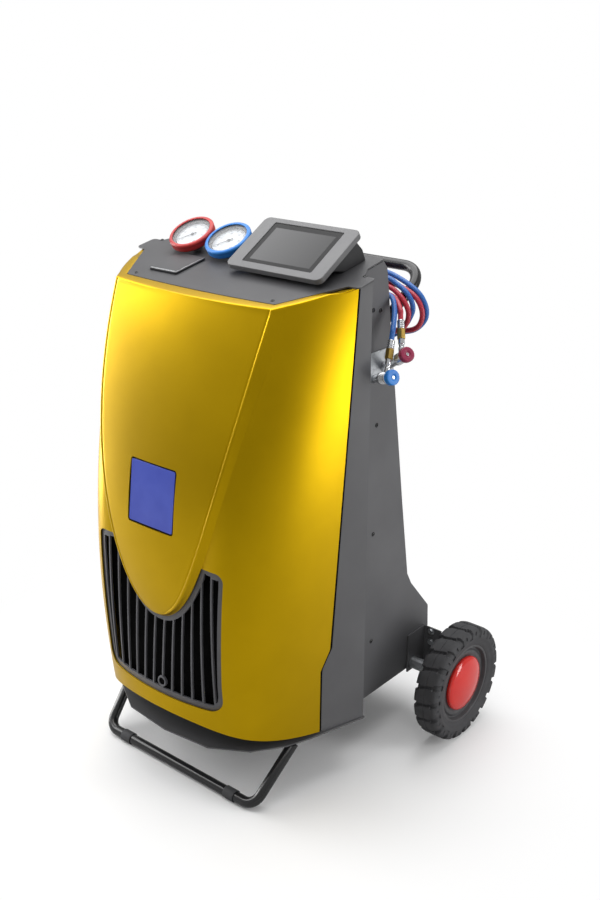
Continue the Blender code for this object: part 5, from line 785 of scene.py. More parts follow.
def front_half():
    """Rows of the right half, from the shield's tip up to the rim's turned-down edge."""
    s = np.r_[np.linspace(0, CORNER, 44)[:-1], np.linspace(CORNER, 7 / 14, 12)[:-1],
              np.linspace(7 / 14, 8 / 14, 10)[:-1], np.linspace(8 / 14, 1, 60)]
    crest = ridge(s)
    share, z = shield_foot(s)
    foot = skin_point(share, z)
    edge_share, edge_z = border(s)
    reach = np.minimum(RIDGE_SOFT, 0.42 * np.linalg.norm(foot - crest, axis=1))[:, None]
    v = np.r_[np.linspace(0, 0.90, 13), np.linspace(0.90, 1, 14)[1:]][None, :]
    inner = np.minimum(reach[:, 0], 0.45 * crest[:, 0]) / np.maximum(crest[:, 0], 1e-9)
    v = v * (1 - inner[:, None])
    bulge = 0.0716 * crest[:, :1] * (1 - v ** 2)
    shield = np.stack([crest[:, :1] * v, crest[:, 1:2] - bulge, np.repeat(crest[:, 2:], 26, 1)], -1)
    down = unit(foot - crest)
    fade = np.clip(crest[:, :1] / 0.05, 0, 1)
    away = (1 - v) * crest[:, :1]
    valley = BEAD_HEIGHT * np.exp(-((away - VALLEY_AWAY) / VALLEY_WIDTH) ** 2)
    bead = BEAD_HEIGHT * np.exp(-(away / BEAD_WIDTH) ** 2)
    shield[..., 1] += fade * (valley - bead)
    w = np.linspace(0, 1, 44)[None, :] ** 1.15
    shares = share[:, None] + (edge_share - share)[:, None] * w
    heights = z[:, None] + (edge_z - z)[:, None] * w
    tops = skin_top(shares[-1])
    lift = np.clip((s - 0.93) / 0.07, 0, 1)[:, None] ** 2
    heights = heights + lift * (tops - heights[-1])[None, :]
    skin = skin_point(shares, heights)
    skin[:, 0] = foot
    out = unit(skin[:, 1] - foot)
    at_ridge = eased(shield[:, -1], crest - (0, BEAD_HEIGHT, 0) * fade, crest + down * reach)
    soft_foot = eased(foot - down * np.minimum(reach, FOOT_SOFT), foot, foot + out * FOOT_SOFT)
    rows = np.concatenate([shield[:, :-1], at_ridge, soft_foot, skin[:, 1:]], axis=1)
    top = rows[-1]
    position = np.r_[0.5 * top[:SHIELD_COLUMNS, 0] / top[SHIELD_COLUMNS - 1, 0],
                     0.5 + 0.5 * 7 / 8 * np.linspace(0, 1, len(top) - SHIELD_COLUMNS)]
    edge = plate_edge(position)
    outward = unit(top[:, :2] - edge)
    edge = edge + outward * 0.0006
    side = np.linspace(0, 1, len(top) - SHIELD_COLUMNS)
    drop = np.r_[np.zeros(SHIELD_COLUMNS), 0.0045 * np.clip((side - 5 / 7) * 7, 0, 1)]
    rolled = top[:, :2] + (edge - top[:, :2]) * 0.2
    corner = np.c_[top[:, :2], plate_top(top[:, 1]) - drop]
    over = np.c_[rolled, plate_top(rolled[:, 1]) - drop]
    lip = eased(top, corner, over, 6)[:, 1:]
    inner = np.c_[edge, plate_top(edge[:, 1]) - drop]
    turned_in = np.concatenate([eased(inner + (over - inner) * 0.15, inner, inner - (0, 0, 0.0012), 4),
                                (inner - (0, 0, 0.004))[:, None]], 1)
    rim = np.concatenate([lip, turned_in], 1).transpose(1, 0, 2)
    rim[:, 0, 0] = 0.0
    return np.concatenate([rows, rim], 0)


VENT_LOW, VENT_HIGH = 0.2215, 0.532


def grille_outline():
    """The vent's outline: a trapezium with round heels, notched along the shield's foot."""
    s = np.linspace(0, math.sqrt((VENT_HIGH - TIP_Z) / (TOP_Z - TIP_Z)) * 1.2, 60)
    share, z = shield_foot(s)
    x = share * skin_half(z)
    keep = z < 0.530
    notch = np.c_[x[keep], z[keep]]
    corner = (float(np.interp(VENT_HIGH, z, x)), VENT_HIGH)
    rest = np.array([notch[-1], corner, (0.174, VENT_HIGH), (0.164, 0.285), (0.164, VENT_LOW),
                     (0.0, VENT_LOW)])
    rest = rounded(rest, [0, 0.006, 0.018, 0.0, 0.045, 0.0], 8)
    right = np.vstack([notch[:-1], rest[1:]])
    left = right[1:-1][::-1] * (-1, 1)
    return np.vstack([right, left])


def grown(outline, margin):
    """A closed outline moved out along its own normals."""
    ahead = unit(np.roll(outline, -1, 0) - np.roll(outline, 1, 0))
    last = np.roll(outline, 1, 0)
    area = np.sum(last[:, 0] * outline[:, 1] - outline[:, 0] * last[:, 1])
    return outline + np.c_[ahead[:, 1], -ahead[:, 0]] * (margin if area > 0 else -margin)


THROUGH = (-0.25, 0.10)
FACING = placed((0, -0.345, 0), (1, 0, 0), (0, 0, 1))
BADGE_LOW, BADGE_HIGH = np.array([0, -0.3475, 0.5882]), np.array([0, -0.3309, 0.7124])
BADGE_PLACE = placed((BADGE_LOW + BADGE_HIGH) / 2, (1, 0, 0), BADGE_HIGH - BADGE_LOW)
BADGE_SIZE = (0.120, float(np.linalg.norm(BADGE_HIGH - BADGE_LOW)))
BADGE_ROOM, BADGE_EDGE = 0.0054, 0.0012
half = front_half()
whole = np.concatenate([half[:, :0:-1] * (-1, 1, 1), half], axis=1)
front = thing_of("moulded_front", [sheet_of(whole)])
if faces_back(front):
    front.data.flip_normals()
walled(front, SKIN)
vent = thing_of("vent_cut", [prism(grille_outline(), *THROUGH, FACING)])
carved(front, vent)
pocket_outline = rounded(oblong(*(size + BADGE_ROOM for size in BADGE_SIZE)), 0.0066)
pocket = thing_of("badge_cut", [prism(pocket_outline, -0.02, 0.02, BADGE_PLACE)])
carved(front, pocket)
finished(front, LACQUER, "yellow_moulding", stands_for="front_panel", angle=28)
print("front faces:", len(front.data.polygons))

# A black strip fills the joint between the skin and each column: painted shade in the gap.
_, joint_z = border(np.linspace(CORNER, 1, 120))
joint_z = np.linspace(joint_z.min() + 0.001, joint_z.max() - 0.004, 90)
edge_point = skin_point(rear_share(joint_z), joint_z)
for side, word in SIDES:
    near, far = edge_point[:, 1] + 0.0003, column_front(joint_z) - 0.0003
    ring = np.stack([np.stack([edge_point[:, 0] - inset, y, joint_z], -1)
                     for inset, y in ((0.0010, near), (0.0010, far), (0.0080, far), (0.0080, near))], 1)
    first, last = (np.repeat(end.mean(1, keepdims=True), 4, 1) for end in (ring[:1], ring[-1:]))
    ring = np.concatenate([first, ring, last])
    piece(word + "_joint_painted_shade", [sheet_of(ring * (side, 1, 1), wrap=True)], PAINTED_SHADE, "black_plastic", angle=40)

# %% [markdown]
# The grille is grey ABS behind the opening: a frame that follows the outline, upright fins
# between tall slots, and a small ring where condensed water drains. It is the skin's own
# surface set back 4.5 mm along its normal, trimmed to the outline, and the slots are cut from it.

# %% Grille
def skin_inner(x, z, setback):
    """A point behind the skin: P + setback n, n the normal from two small steps."""
    here = skin_point(x / skin_half(z), z)
    across = skin_point(x / skin_half(z) + SKIN, z) - here
    upward = skin_point(x / skin_half(z), z + SKIN) - here
    inward = unit(np.cross(across, upward))
    inward = inward * np.where(inward[..., 1:2] < 0, -1, 1)
    return here + inward * setback


def backing(name, low, high, columns, rows, setback):
    """A grid behind the vent, between two heights, set back from the skin."""
    x, z = np.meshgrid(np.linspace(-BACKING_HALF, BACKING_HALF, columns), np.linspace(low, high, rows))
    return thing_of(name, [sheet_of(skin_inner(x, z, setback))])


RAIL, FIN, PITCH = 0.0115, 0.0036, 0.0262
SLOT_PAIRS = 7  # the middle slot stands for the first pair
BACKING_HALF, BACKING_TOP = 0.186, 0.544
GRILLE_SETBACK, GRILLE_WALL = 0.0045, 0.0042
SHADE_SHEET_SETBACK, SHADE_SHEET_WALL = 0.024, 0.003
grille = backing("front_grille_frame", 0.2095, BACKING_TOP, 110, 90, GRILLE_SETBACK)
walled(grille, GRILLE_WALL, 1 if faces_back(grille) else -1)
carved(grille, thing_of("grille_blank", [prism(grown(grille_outline(), 0.0055), *THROUGH, FACING)]),
       "INTERSECT")
inner_line = grown(grille_outline(), -RAIL)


def crossings(outline, x):
    """Heights where the outline crosses a vertical line."""
    a, b = outline, np.roll(outline, -1, 0)
    hit = (a[:, 0] - x) * (b[:, 0] - x) < 0
    return np.sort(a[hit, 1] + (b[hit, 1] - a[hit, 1]) * (x - a[hit, 0]) / (b[hit, 0] - a[hit, 0]))


def slot_outline(low_x, high_x):
    """A slot between two fins: its ends follow the frame, and so does the outermost slot's side."""
    xs = np.linspace(low_x, high_x, 9) + 1e-6
    ends = [crossings(inner_line, x) for x in xs]
    inside = [(x, e[0], e[-1]) for x, e in zip(xs, ends) if len(e) > 1]
    if len(inside) == len(xs):
        ends = np.array([(x, low) for x, low, _ in inside] + [(x, high) for x, _, high in inside[::-1]])
        return rounded(ends, [0.003] + [0.0] * 7 + [0.003, 0.003] + [0.0] * 7 + [0.003], 4)
    x, low, high = inside[0]
    levels = np.linspace(low + 0.004, high - 0.004, 20)
    side = [np.abs(crossings(inner_line[:, ::-1], z)).max() for z in levels]
    edge = [(max(s, x + 0.001), z) for s, z in zip(side, levels)]
    return np.array([(x, levels[0])] + edge + [(x, levels[-1])])


slots = []
for k in range(SLOT_PAIRS):
    low_x = PITCH * k - (PITCH - FIN) / 2
    outline = slot_outline(low_x, low_x + PITCH - FIN)
    for mirror in ((1, -1) if k else (1,)):
        slots.append(prism((outline * (mirror, 1))[::mirror], *THROUGH, FACING))
carved(grille, thing_of("grille_slots", slots))
finished(grille, GRILLE, "grille_grey", stands_for="front_grille", bevel=0.0006, angle=32)
seat = skin_inner(np.array(0.0131), np.array(0.2475), GRILLE_SETBACK)
seat_up = skin_inner(np.array(0.0131), np.array(0.2505), GRILLE_SETBACK)
ring_place = placed(seat, (1, 0, 0), seat_up - seat)
DRAIN_RING = [(0.0078, -0.004), (0.0078, 0.0022), (0.0116, 0.0022), (0.0116, -0.004)]
# The near-black disc inside the drain ring is a painted shadow, so the ring reads as a hole.
DRAIN_SHADOW_DISC = [(0, 0.0006), (0.0079, 0.0006), (0.0079, -0.0006), (0, -0.0006)]
piece("grille_drain_ring", [turned(DRAIN_RING, ring_place, 64, 0.0008, ring=True)], GRILLE, "grille_grey")
piece("grille_drain_painted_shadow", [turned(DRAIN_SHADOW_DISC, ring_place, 48, 0.0002)], PAINTED_SHADE, "black_plastic")
# A near-black sheet behind the slots is painted shade for the dark inside of the vent.
dark_vent_sheet = backing("vent_painted_shade_sheet", 0.202, BACKING_TOP, 72, 30, SHADE_SHEET_SETBACK)
walled(dark_vent_sheet, SHADE_SHEET_WALL)
finished(dark_vent_sheet, PAINTED_SHADE, "black_plastic")
print("slots:", len(slots))

# %% [markdown]
# The badge is a plain gloss plate, slightly crowned, in a dark recess. Nothing is printed on it.

# %% Badge
def crowned(width, height, corner, low, high, crown, where, n=33):
    """A plate whose face swells: z = high + crown (1 - u^2)(1 - v^2), its corners rounded.

    Each ring of the grid is the outline shrunk towards the middle.
    """
    outline = rounded(oblong(width, height), corner, 8)
    share = np.linspace(1, 0, n)[:, None, None]
    face = outline[None] * share
    swell = (1 - (face[..., :1] * 2 / width) ** 2) * (1 - (face[..., 1:] * 2 / height) ** 2)
    top = np.concatenate([face, high + crown * swell], -1)
    edge = np.concatenate([outline, np.full((len(outline), 1), low)], 1)[None]
    base = np.concatenate([outline * 0, np.full((len(outline), 1), low)], 1)[None]
    return sheet_of(put(np.concatenate([base, edge, top]), where), wrap=True)


badge_size = [size - BADGE_EDGE for size in BADGE_SIZE]
piece("badge_blank_plate", [crowned(*badge_size, 0.004, -0.00125, 0.00125, 0.0008, BADGE_PLACE)],
      BADGE, "badge_blue", stands_for="badge_plate", bevel=0.0005)

# %% [markdown]
# A pressure gauge has a black steel case, a white printed dial under flat glass, and a rubber
# boot that takes the knocks. The dial's ticks are fine prisms set round it, and its figures
# are plain numbers.

# %% Gauges
TILT = math.radians(30.0)
TICKS, TICK_START, TICK_SWEEP, TICK_OUTER, ARC_OUTER = 50, 225, 270, 0.0334, 0.0338
GAUGES = {"red": -0.163, "blue": -0.061}


def gauge_place(x, level=0.0):
    """A placement on a gauge's face, z out of the glass."""
    return leaning((x, -0.050, 1.0985), TILT, level)


def words(text, size, spot, where):
    """A flat figure as a patch, centred on a spot of a placement."""
    curve = bpy.data.curves.new("figure", "FONT")
    curve.body = text
    curve.size = size
    curve.align_x = "CENTER"
    curve.align_y = "CENTER"
    curve.extrude = 0.00004
    curve.resolution_u = 2
    made = linked("figure", curve)
    bpy.context.view_layer.update()
    mesh = bpy.data.meshes.new_from_object(made.evaluated_get(bpy.context.evaluated_depsgraph_get()))
    bpy.data.objects.remove(made)
    points = np.array([v.co for v in mesh.vertices]) + (spot[0], spot[1], 0)
    return put(points, where), [list(p.vertices) for p in mesh.polygons]


def dial_marks(x):
    """Ticks at 5.4 degree steps over 270 degrees, each fifth longer, and a figure at each tenth."""
    where = gauge_place(x, -0.00995)
    made = []
    for k in range(TICKS + 1):
        angle = math.radians(TICK_START - TICK_SWEEP * k / TICKS)
        out = np.array([math.cos(angle), math.sin(angle)])
        long_tick = k % 5 == 0
        inner, width = (0.0290, 0.0006) if long_tick else (0.0308, 0.0003)
        side = np.array([-out[1], out[0]]) * width
        made.append(prism([out * inner - side, out * TICK_OUTER - side, out * TICK_OUTER + side,
                           out * inner + side], 0, 0.00008, where))
        if k % 10 == 0:
            made.append(words(str(k // 10 * 5), 0.0068, out * 0.0240, where))
    arc = np.radians(np.linspace(TICK_START, TICK_START - TICK_SWEEP, 90))
    flat = np.full(len(arc), 0.00006)
    rings = [np.stack([np.cos(arc) * r, np.sin(arc) * r, flat], -1) for r in (TICK_OUTER, ARC_OUTER)]
    made.append(sheet_of(put(np.stack(rings), where)))
    return made


BOOT_LINE = [(0.0415, 0), (0.0465, 0), (0.049, -0.0025), (0.049, -0.0060), (0.0482, -0.0068),
             (0.0482, -0.0095), (0.0484, -0.0103), (0.0484, -0.0150), (0.0458, -0.018), (0.033, -0.018),
             (0.033, -0.0158), (0.0448, -0.0158), (0.0448, -0.0025), (0.0415, -0.0025)]
CASE_LINE = [(0, -0.0160), (0.0015, -0.0160), (0.0015, -0.0115), (0.0428, -0.0115), (0.0428, -0.0028),
             (0.0445, -0.0028), (0.0445, -0.0155), (0.0105, -0.0155), (0.0105, -0.058), (0, -0.058)]
BEZEL_LINE = [(0.0355, -0.0070), (0.0425, -0.0032), (0.0425, -0.0080), (0.0355, -0.0080)]
DIAL_LINE = [(0.0015, -0.0100), (0.0425, -0.0100), (0.0425, -0.0112), (0.0015, -0.0112)]
GLASS_LINE = [(0, -0.0034), (0.0425, -0.0034), (0.0425, -0.0046), (0, -0.0046)]
HAND_LINE = [(-0.0016, -0.009), (0.0016, -0.009), (0.0009, 0), (0.00025, 0.0295), (-0.00025, 0.0295),
             (-0.0009, 0)]
HUB_LINE = [(0, -0.0045), (0.001, -0.0045), (0.001, -0.0008), (0.0032, -0.0008), (0.0032, 0.0008),
            (0, 0.0010)]
HAND_TURN = math.radians(135.0)
SWING = np.array([[math.cos(HAND_TURN), math.sin(HAND_TURN), 0],
                  [-math.sin(HAND_TURN), math.cos(HAND_TURN), 0], [0, 0, 1]])
for colour, x in GAUGES.items():
    boot_finish, slot = (RED_RUBBER, "red_rubber") if colour == "red" else (BLUE_RUBBER, "blue_rubber")
    face = gauge_place(x)
    piece(colour + "_boot", [turned(BOOT_LINE, face, 128, 0.0014, ring=True)], boot_finish, slot,
          stands_for=colour + "_gauge_boot")
    piece(colour + "_case", [turned(CASE_LINE, face, 96, 0.0004)], NYLON, "black_plastic",
          stands_for=colour + "_gauge_case")
    piece(colour + "_inner_bezel", [turned(BEZEL_LINE, gauge_place(x, -0.0018), 96, 0.0003, ring=True)],
          NYLON, "black_plastic")
    piece(colour + "_dial", [turned(DIAL_LINE, face, 96, 0.0002, ring=True)],
          DIAL, "dial_white", stands_for=colour + "_gauge_dial")
    piece(colour + "_dial_marks", dial_marks(x), INK, "black_plastic", angle=80)
    piece(colour + "_glass", [turned(GLASS_LINE, face, 96, 0.0003)],
          GLASS, "gauge_glass", stands_for=colour + "_gauge_glass")
    origin, axes = gauge_place(x, -0.0078)
    hand = (origin, SWING @ axes)
    piece(colour + "_pointer", [prism(HAND_LINE, -0.0004, 0.0004, hand),
                                turned(HUB_LINE, hand, 40, 0.0002)],
          INK, "black_plastic", body=colour + "_needle", stands_for=colour + "_gauge_needle")

# %% [markdown]
# The display is a tablet in a satin ABS tray with round corners. Smoked acrylic surrounds the
# lit field, and both sit a little below the tray's face.

# %% Display
D_TILT = math.radians(30.5)
DISPLAY = leaning((0.115, -0.058, 1.102), D_TILT)
TRAY_SIZE, PANEL_SIZE, LIT_SIZE = (0.235, 0.145), (0.1704, 0.1144), (0.148, 0.0925)
WINDOW_RISE, LIT_RISE = (0, 0.002), (0, 0.0003)
tray = thing_of("display_tray", [prism(rounded(oblong(*TRAY_SIZE), 0.014, 10), -0.012, 0, DISPLAY)])
window = rounded(oblong(0.171, 0.115), 0.003, 5) + WINDOW_RISE
carved(tray, thing_of("display_pocket", [prism(window, -0.010, 0.010, DISPLAY)]))
finished(tray, BEZEL, "bezel_grey", stands_for="display_bezel", bevel=0.0014, angle=40)
panel = rounded(oblong(*PANEL_SIZE), 0.003, 5) + WINDOW_RISE
piece("smoked_surround", [prism(panel, -0.0098, -0.0015, DISPLAY)], SURROUND, "screen_glass",
      stands_for="display_screen", bevel=0.0003)
lit = rounded(oblong(*LIT_SIZE), 0.0008, 3) + LIT_RISE
# The lit field's finish pales towards its left: a painted reflection.
piece("lit_field", [prism(lit, -0.0016, -0.00142, DISPLAY)], LIT, "screen_glass")

# %% [markdown]
# Small parts of the control plate: four black socket screws, and the printer's lid with its
# bright toothed edge for tearing the paper.

# %% Printer and plate screws
def plate_place(x, y, lift=0.0):
    """A placement on the control plate's top face."""
    return leaning((x, y, float(plate_top(y))), PLATE_SLOPE, lift)


def socket_screw(where, radius=0.0042, height=0.0016):
    """A low domed head with a hexagon socket's round hollow."""
    return turned([(0, height * 0.35), (radius * 0.42, height * 0.35), (radius * 0.46, height),
                   (radius * 0.72, height * 0.94),
                   (radius, height * 0.35), (radius, -0.0002), (0, -0.0002)], where, 40, 0.0002)


PLATE_SCREWS = ((0.180, -0.189), (0.269, -0.031))
plate_screws = [socket_screw(plate_place(side * x, y)) for side, _ in SIDES for x, y in PLATE_SCREWS]
piece("control_plate_screws", plate_screws, ENAMEL, "black_plastic")
PRINTER_X, PRINTER_Y, LID_W, LID_L = -0.1287, -0.124, 0.0765, 0.086
LID_LIFT = 0.0003 + 0.0012 + 0.0003
lid_place = plate_place(PRINTER_X, PRINTER_Y, LID_LIFT)
lid = [prism(rounded(oblong(LID_W, LID_L), 0.004, 6), 0, 0.003, lid_place)]
piece("printer_cover", lid, PLATE, "plate_paint", body="lid", stands_for="printer_lid", bevel=0.0009)
teeth_x = np.linspace(-LID_W / 2 + 0.004, LID_W / 2 - 0.004, 61)
saw = np.where(np.arange(61) % 2, -LID_L / 2 - 0.0004, -LID_L / 2 + 0.0014)
back_y = -LID_L / 2 + 0.0052
blade = np.vstack([np.c_[teeth_x, saw], [(teeth_x[-1], back_y), (teeth_x[0], back_y)]])
piece("paper_tear_blade", [prism(blade, 0.0029, 0.0034, lid_place)], STEEL, "zinc_steel", body="lid",
      angle=30)
inner, outer = LID_W / 2 - 0.0030, LID_W / 2 - 0.0016
low, high = -LID_L / 2 + 0.004, LID_L / 2 - 0.008
rail = np.array([(inner, low), (outer, low), (outer, high), (inner, high)])
piece("printer_cover_rail", [prism(rail, 0.0029, 0.0034, lid_place)], STEEL, "zinc_steel", body="lid",
      bevel=0.0002)

# %% [markdown]
# The push handle and the foot stand are 22 mm steel tube, bent and stove enamelled. A path's
# corners are rounded to the bend's radius, and a circle is carried along it.

# %% Tubes
def bent(corners, radius, steps=14):
    """A path through corners, each replaced by an arc of the bend's radius."""
    c = np.asarray(corners, float)
    made = [c[:1]]
    for i in range(1, len(c) - 1):
        u, v = unit(c[i - 1] - c[i]), unit(c[i + 1] - c[i])
        half_angle = math.acos(float(np.clip(u @ v, -1, 1))) / 2
        reach = radius / math.tan(half_angle)
        centre = c[i] + unit(u + v) * radius / math.sin(half_angle)
        a, b = c[i] + u * reach - centre, c[i] + v * reach - centre
        whole_turn = math.acos(float(np.clip(unit(a) @ unit(b), -1, 1)))
        t = np.linspace(0, 1, steps + 1)[:, None]
        made.append(centre + (np.sin((1 - t) * whole_turn) * a + np.sin(t * whole_turn) * b)
                    / math.sin(whole_turn))
    return np.vstack(made + [c[-1:]])


TUBE_RADIUS, HANDLE_BEND, FOOT_BEND = 0.011, 0.050, 0.030
HANDLE_SLOPE, ARM_LENGTH = math.radians(36.0), 0.235
arm = np.array([0, math.cos(HANDLE_SLOPE), math.sin(HANDLE_SLOPE)]) * ARM_LENGTH
bar = np.array([0, 0.200, 1.036])
handle_path = bent([bar - arm + (-0.225, 0, 0), bar + (-0.25, 0, 0), bar + (0.25, 0, 0),
                    bar - arm + (0.225, 0, 0)], HANDLE_BEND)
bend_plane = (0, -math.sin(HANDLE_SLOPE), math.cos(HANDLE_SLOPE))
piece("bent_push_handle", [swept(handle_path, TUBE_RADIUS, 40, bend_plane)], ENAMEL, "gloss_black_tube",
      stands_for="push_handle", angle=60)
FOOT_TOP = 0.1182
FOOT_TRIM = [(-0.4, -0.4), (0.4, -0.4), (0.4, 0.1), (-0.4, 0.1)]
SLEEVE_X, SLEEVE_LINE = 0.155, [(0.013, 0.014), (0.013, -0.014), (0.0113, -0.014), (0.0113, 0.014)]
foot_path = bent([(-0.2358, -0.1985, FOOT_TOP), (-0.2177, -0.303, 0.013), (0.2177, -0.303, 0.013),
                  (0.2358, -0.1985, FOOT_TOP)], FOOT_BEND)
foot = thing_of("bent_foot_stand", [swept(foot_path, TUBE_RADIUS, 40, (0, -0.7, 0.7))])
carved(foot, thing_of("foot_trim", [prism(FOOT_TRIM, FOOT_TOP, 0.2)]))
finished(foot, ENAMEL, "gloss_black_tube", stands_for="foot_stand", angle=60)
for side, word in SIDES:
    where = along((side * SLEEVE_X, -0.303, 0.013), (1, 0, 0))
    piece(word + "_rubber_sleeve", [turned(SLEEVE_LINE, where, 64, 0.0007, ring=True)],
          TYRE, "black_plastic", stands_for=word + "_foot_sleeve")
hook_path = bent([(-0.048, 0.0595, 0.966), (-0.048, 0.165, 0.966), (-0.048, 0.165, 0.986)], 0.008, 10)
hook_radii = np.r_[np.full(len(hook_path) - 2, 0.004), 0.0036, 0.0026]
piece("bent_hose_hook", [swept(hook_path, hook_radii, 28, (1, 0, 0))], ENAMEL, "gloss_black_tube",
      stands_for="hose_hook", angle=60)

# %% [markdown]
# The wheels are solid rubber tyres on moulded rims. Twenty blocks step out of the tread, each
# with a slot in its shoulder, and the grooves between them reach down the sidewall. The tyre is
# one grid: round it the radius drops in the grooves, across it the profile runs bead to bead.

# %% Wheels
WHEEL_X, WHEEL_Y, WHEEL_R, HALF_W, BLOCKS = 0.3715, 0.200, 0.130, 0.030, 20


def smooth_step(x, low, high):
    """0 below low, 1 above high, 3t^2 - 2t^3 between."""
    t = np.clip((x - low) / (high - low), 0, 1)
    return t * t * (3 - 2 * t)


TYRE_HALF = [(0.0872, -0.0185), (0.0890, -0.0235), (0.096, -0.0262), (0.1000, -0.0268), (0.108, -0.0297),
             (0.1225, -0.0288), (0.1285, -0.0245), (WHEEL_R, -0.019)]
TYRE_LINE = TYRE_HALF + [(WHEEL_R, 0)] + [(r, -h) for r, h in TYRE_HALF[::-1]]


def tyre(where):
    """r(a, p) = profile radius less groove depth, each a smooth step of the angle and the profile."""
    line = softened(TYRE_LINE, 0.0025, 4)
    run = np.r_[0, np.cumsum(np.linalg.norm(np.diff(line, axis=0), axis=1))]
    t = np.linspace(0, run[-1], 150)
    r, h = np.interp(t, run, line[:, 0]), np.interp(t, run, line[:, 1])
    steps = BLOCKS * 30
    a = np.linspace(0, 1, steps, endpoint=False)[None, :] * BLOCKS
    r, h = r[:, None], h[:, None]
    across = np.abs(h) / HALF_W
    lean = 0.16 * across * np.sign(h)
    phase = (a + 0.5 + lean) % 1
    reach = smooth_step(r, 0.1085, 0.1115)
    centre_rib = 1 - smooth_step(across, 0.16, 0.26) * 0.75
    groove = smooth_step(np.abs(phase - 0.5), 0.325, 0.365) * reach
    narrow = smooth_step(np.abs(phase - 0.5), 0.405, 0.44) * reach
    depth = 0.0062 * np.where(across > 0.55, groove, narrow * (1 - centre_rib * 0.2))
    middle = smooth_step(0.075 - np.abs(phase - 0.5), 0.0, 0.03)
    slot = middle * smooth_step(r, 0.1135, 0.1150) * (1 - smooth_step(r, 0.1225, 0.1240))
    split = (1 - smooth_step(np.abs(h), 0.0006, 0.0014)) * (r > 0.128) * 0.0012
    r_out = r - depth - split
    pinch = 1 - 0.075 * groove - 0.085 * slot
    radius = np.broadcast_to(r_out, (len(t), steps))
    height = h * pinch
    angle = a / BLOCKS * 2 * np.pi - np.pi / BLOCKS
    outer = np.stack([radius * np.cos(angle), radius * np.sin(angle),
                      np.broadcast_to(height, radius.shape)], -1)
    return sheet_of(put(np.concatenate([outer, outer[:1]]), where), wrap=True)


RIM_LINE = [(0.0909, 0.0229), (0.0870, 0.0190), (0.0870, -0.0190), (0.0909, -0.0229), (0.0842, -0.0229),
            (0.0842, 0.0105), (0.021, 0.0105), (0.021, -0.0339), (0.0083, -0.0339), (0.0083, 0.0169),
            (0.0205, 0.0169), (0.0205, 0.0145), (0.0640, 0.0145), (0.0700, 0.0165), (0.0745, 0.0165),
            (0.0780, 0.0135), (0.0815, 0.0135), (0.0845, 0.0229)]
CAP_SEAT = 0.0148
CAP_LINE = np.array([(0, 0.0187), (0.0150, 0.0183), (0.0300, 0.0168), (0.0440, 0.0142), (0.0560, 0.0105),
                     (0.0608, 0.0078), (0.0626, 0.0045), (0.0626, 0), (0.0600, 0), (0.0600, 0.0045),
                     (0.0420, 0.0122), (0, 0.0165)]) + (0, CAP_SEAT)
for side, word in SIDES:
    where = placed((side * WHEEL_X, WHEEL_Y, WHEEL_R), (0, side, 0), (0, 0, 1))
    body = word + "_wheel"
    piece(word + "_block_tyre", [tyre(where)], TYRE, "tyre_rubber", body=body, stands_for=word + "_tyre",
          angle=50)
    piece(word + "_moulded_rim", [turned(RIM_LINE, where, 128, 0.0012, ring=True)], RIM, "black_plastic",
          body=body, stands_for=word + "_rim")
    piece(word + "_domed_cap", [turned(CAP_LINE, where, 128, 0.0060)], CAP, "cap_red", body=body,
          stands_for=word + "_wheel_cap", angle=50)

# %% [markdown]
# Screws and bolts hold the sheet metal: round heads down the sides, hexagon bolts with zinc
# washers on the axle brackets.

# %% Fasteners
PANEL_X, BOLT_X, BOLT_Z = 0.25, 0.272, (0.197, 0.170)
WASHER_LINE = [(0, 0.0012), (0.0085, 0.0012), (0.0085, 0), (0, 0)]
HEAD_LINE = [(0, 0.0045), (0.0058, 0.0045), (0.0062, 0.0010), (0.0085, 0.0010), (0.0085, 0), (0, 0)]
SIDE_SCREWS = ((0.023, 0.986), (0.046, 0.981), (0.043, 0.747), (0.040, 0.508), (0.042, 0.254))
for side, word in SIDES:
    spots = [along((side * PANEL_X, y, z), (side, 0, 0)) for y, z in SIDE_SCREWS]
    heads = [socket_screw(spot, 0.0048, 0.0019) for spot in spots]
    piece(word + "_side_screws", heads, ENAMEL, "gloss_black_tube")
    bolts = []
    for z in BOLT_Z:
        spot = along((side * BOLT_X, 0.2460, z), (0, 1, 0))
        bolts.append(turned(WASHER_LINE, spot, 40, 0.0003))
        bolts.append(prism(hexagon(0.0062), 0.0012, 0.0052, spot))
        front_spot = along((side * BOLT_X, 0.2428, z), (0, -1, 0))
        bolts.append(turned(HEAD_LINE, front_spot, 40, 0.0003))
    piece(word + "_bracket_bolts", bolts, ZINC, "zinc_steel", bevel=0.0004)

# %% [markdown]
# The solids whose shape is already right keep it, and only take a finish: the folded steel of
# the cabinet, the control plate, the brackets, and the machinery inside.

# %% Finishes for the solids that stay
KEPT = (
    (POWDER, ("base_tray", "left_column", "right_column", "left_side_panel", "right_side_panel",
              "rear_panel", "left_axle_bracket", "right_axle_bracket", "fan_shroud")),
    (PLATE, ("control_plate",)),
    (NYLON, ("printer_body", "display_housing", "mains_inlet", "fan_rotor", "badge_mount")),
    (ZINC, ("axle", "coupler_bracket", "scale_platform", "condenser", "manifold_block")),
    (TANK, ("refrigerant_tank", "vacuum_pump")),
    (PAPER, ("paper_roll",)),
    (BRASS, ("hose_outlets",)),
    (CAP, ("power_switch",)),
)
for finish, names in KEPT:
    for name in names:
        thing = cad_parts[name]
        thing.data.materials.clear()
        thing.data.materials.append(finish)
print("kept:", sum(len(names) for _, names in KEPT))

# %% [markdown]
# The floor is a pale sheet. Away from the object it fades to white for the camera only, so it
# adds no light. Soft lamps hang above and at the front left, and a tall soft strip stands at
# each side, which draws the long highlights down the lacquer.

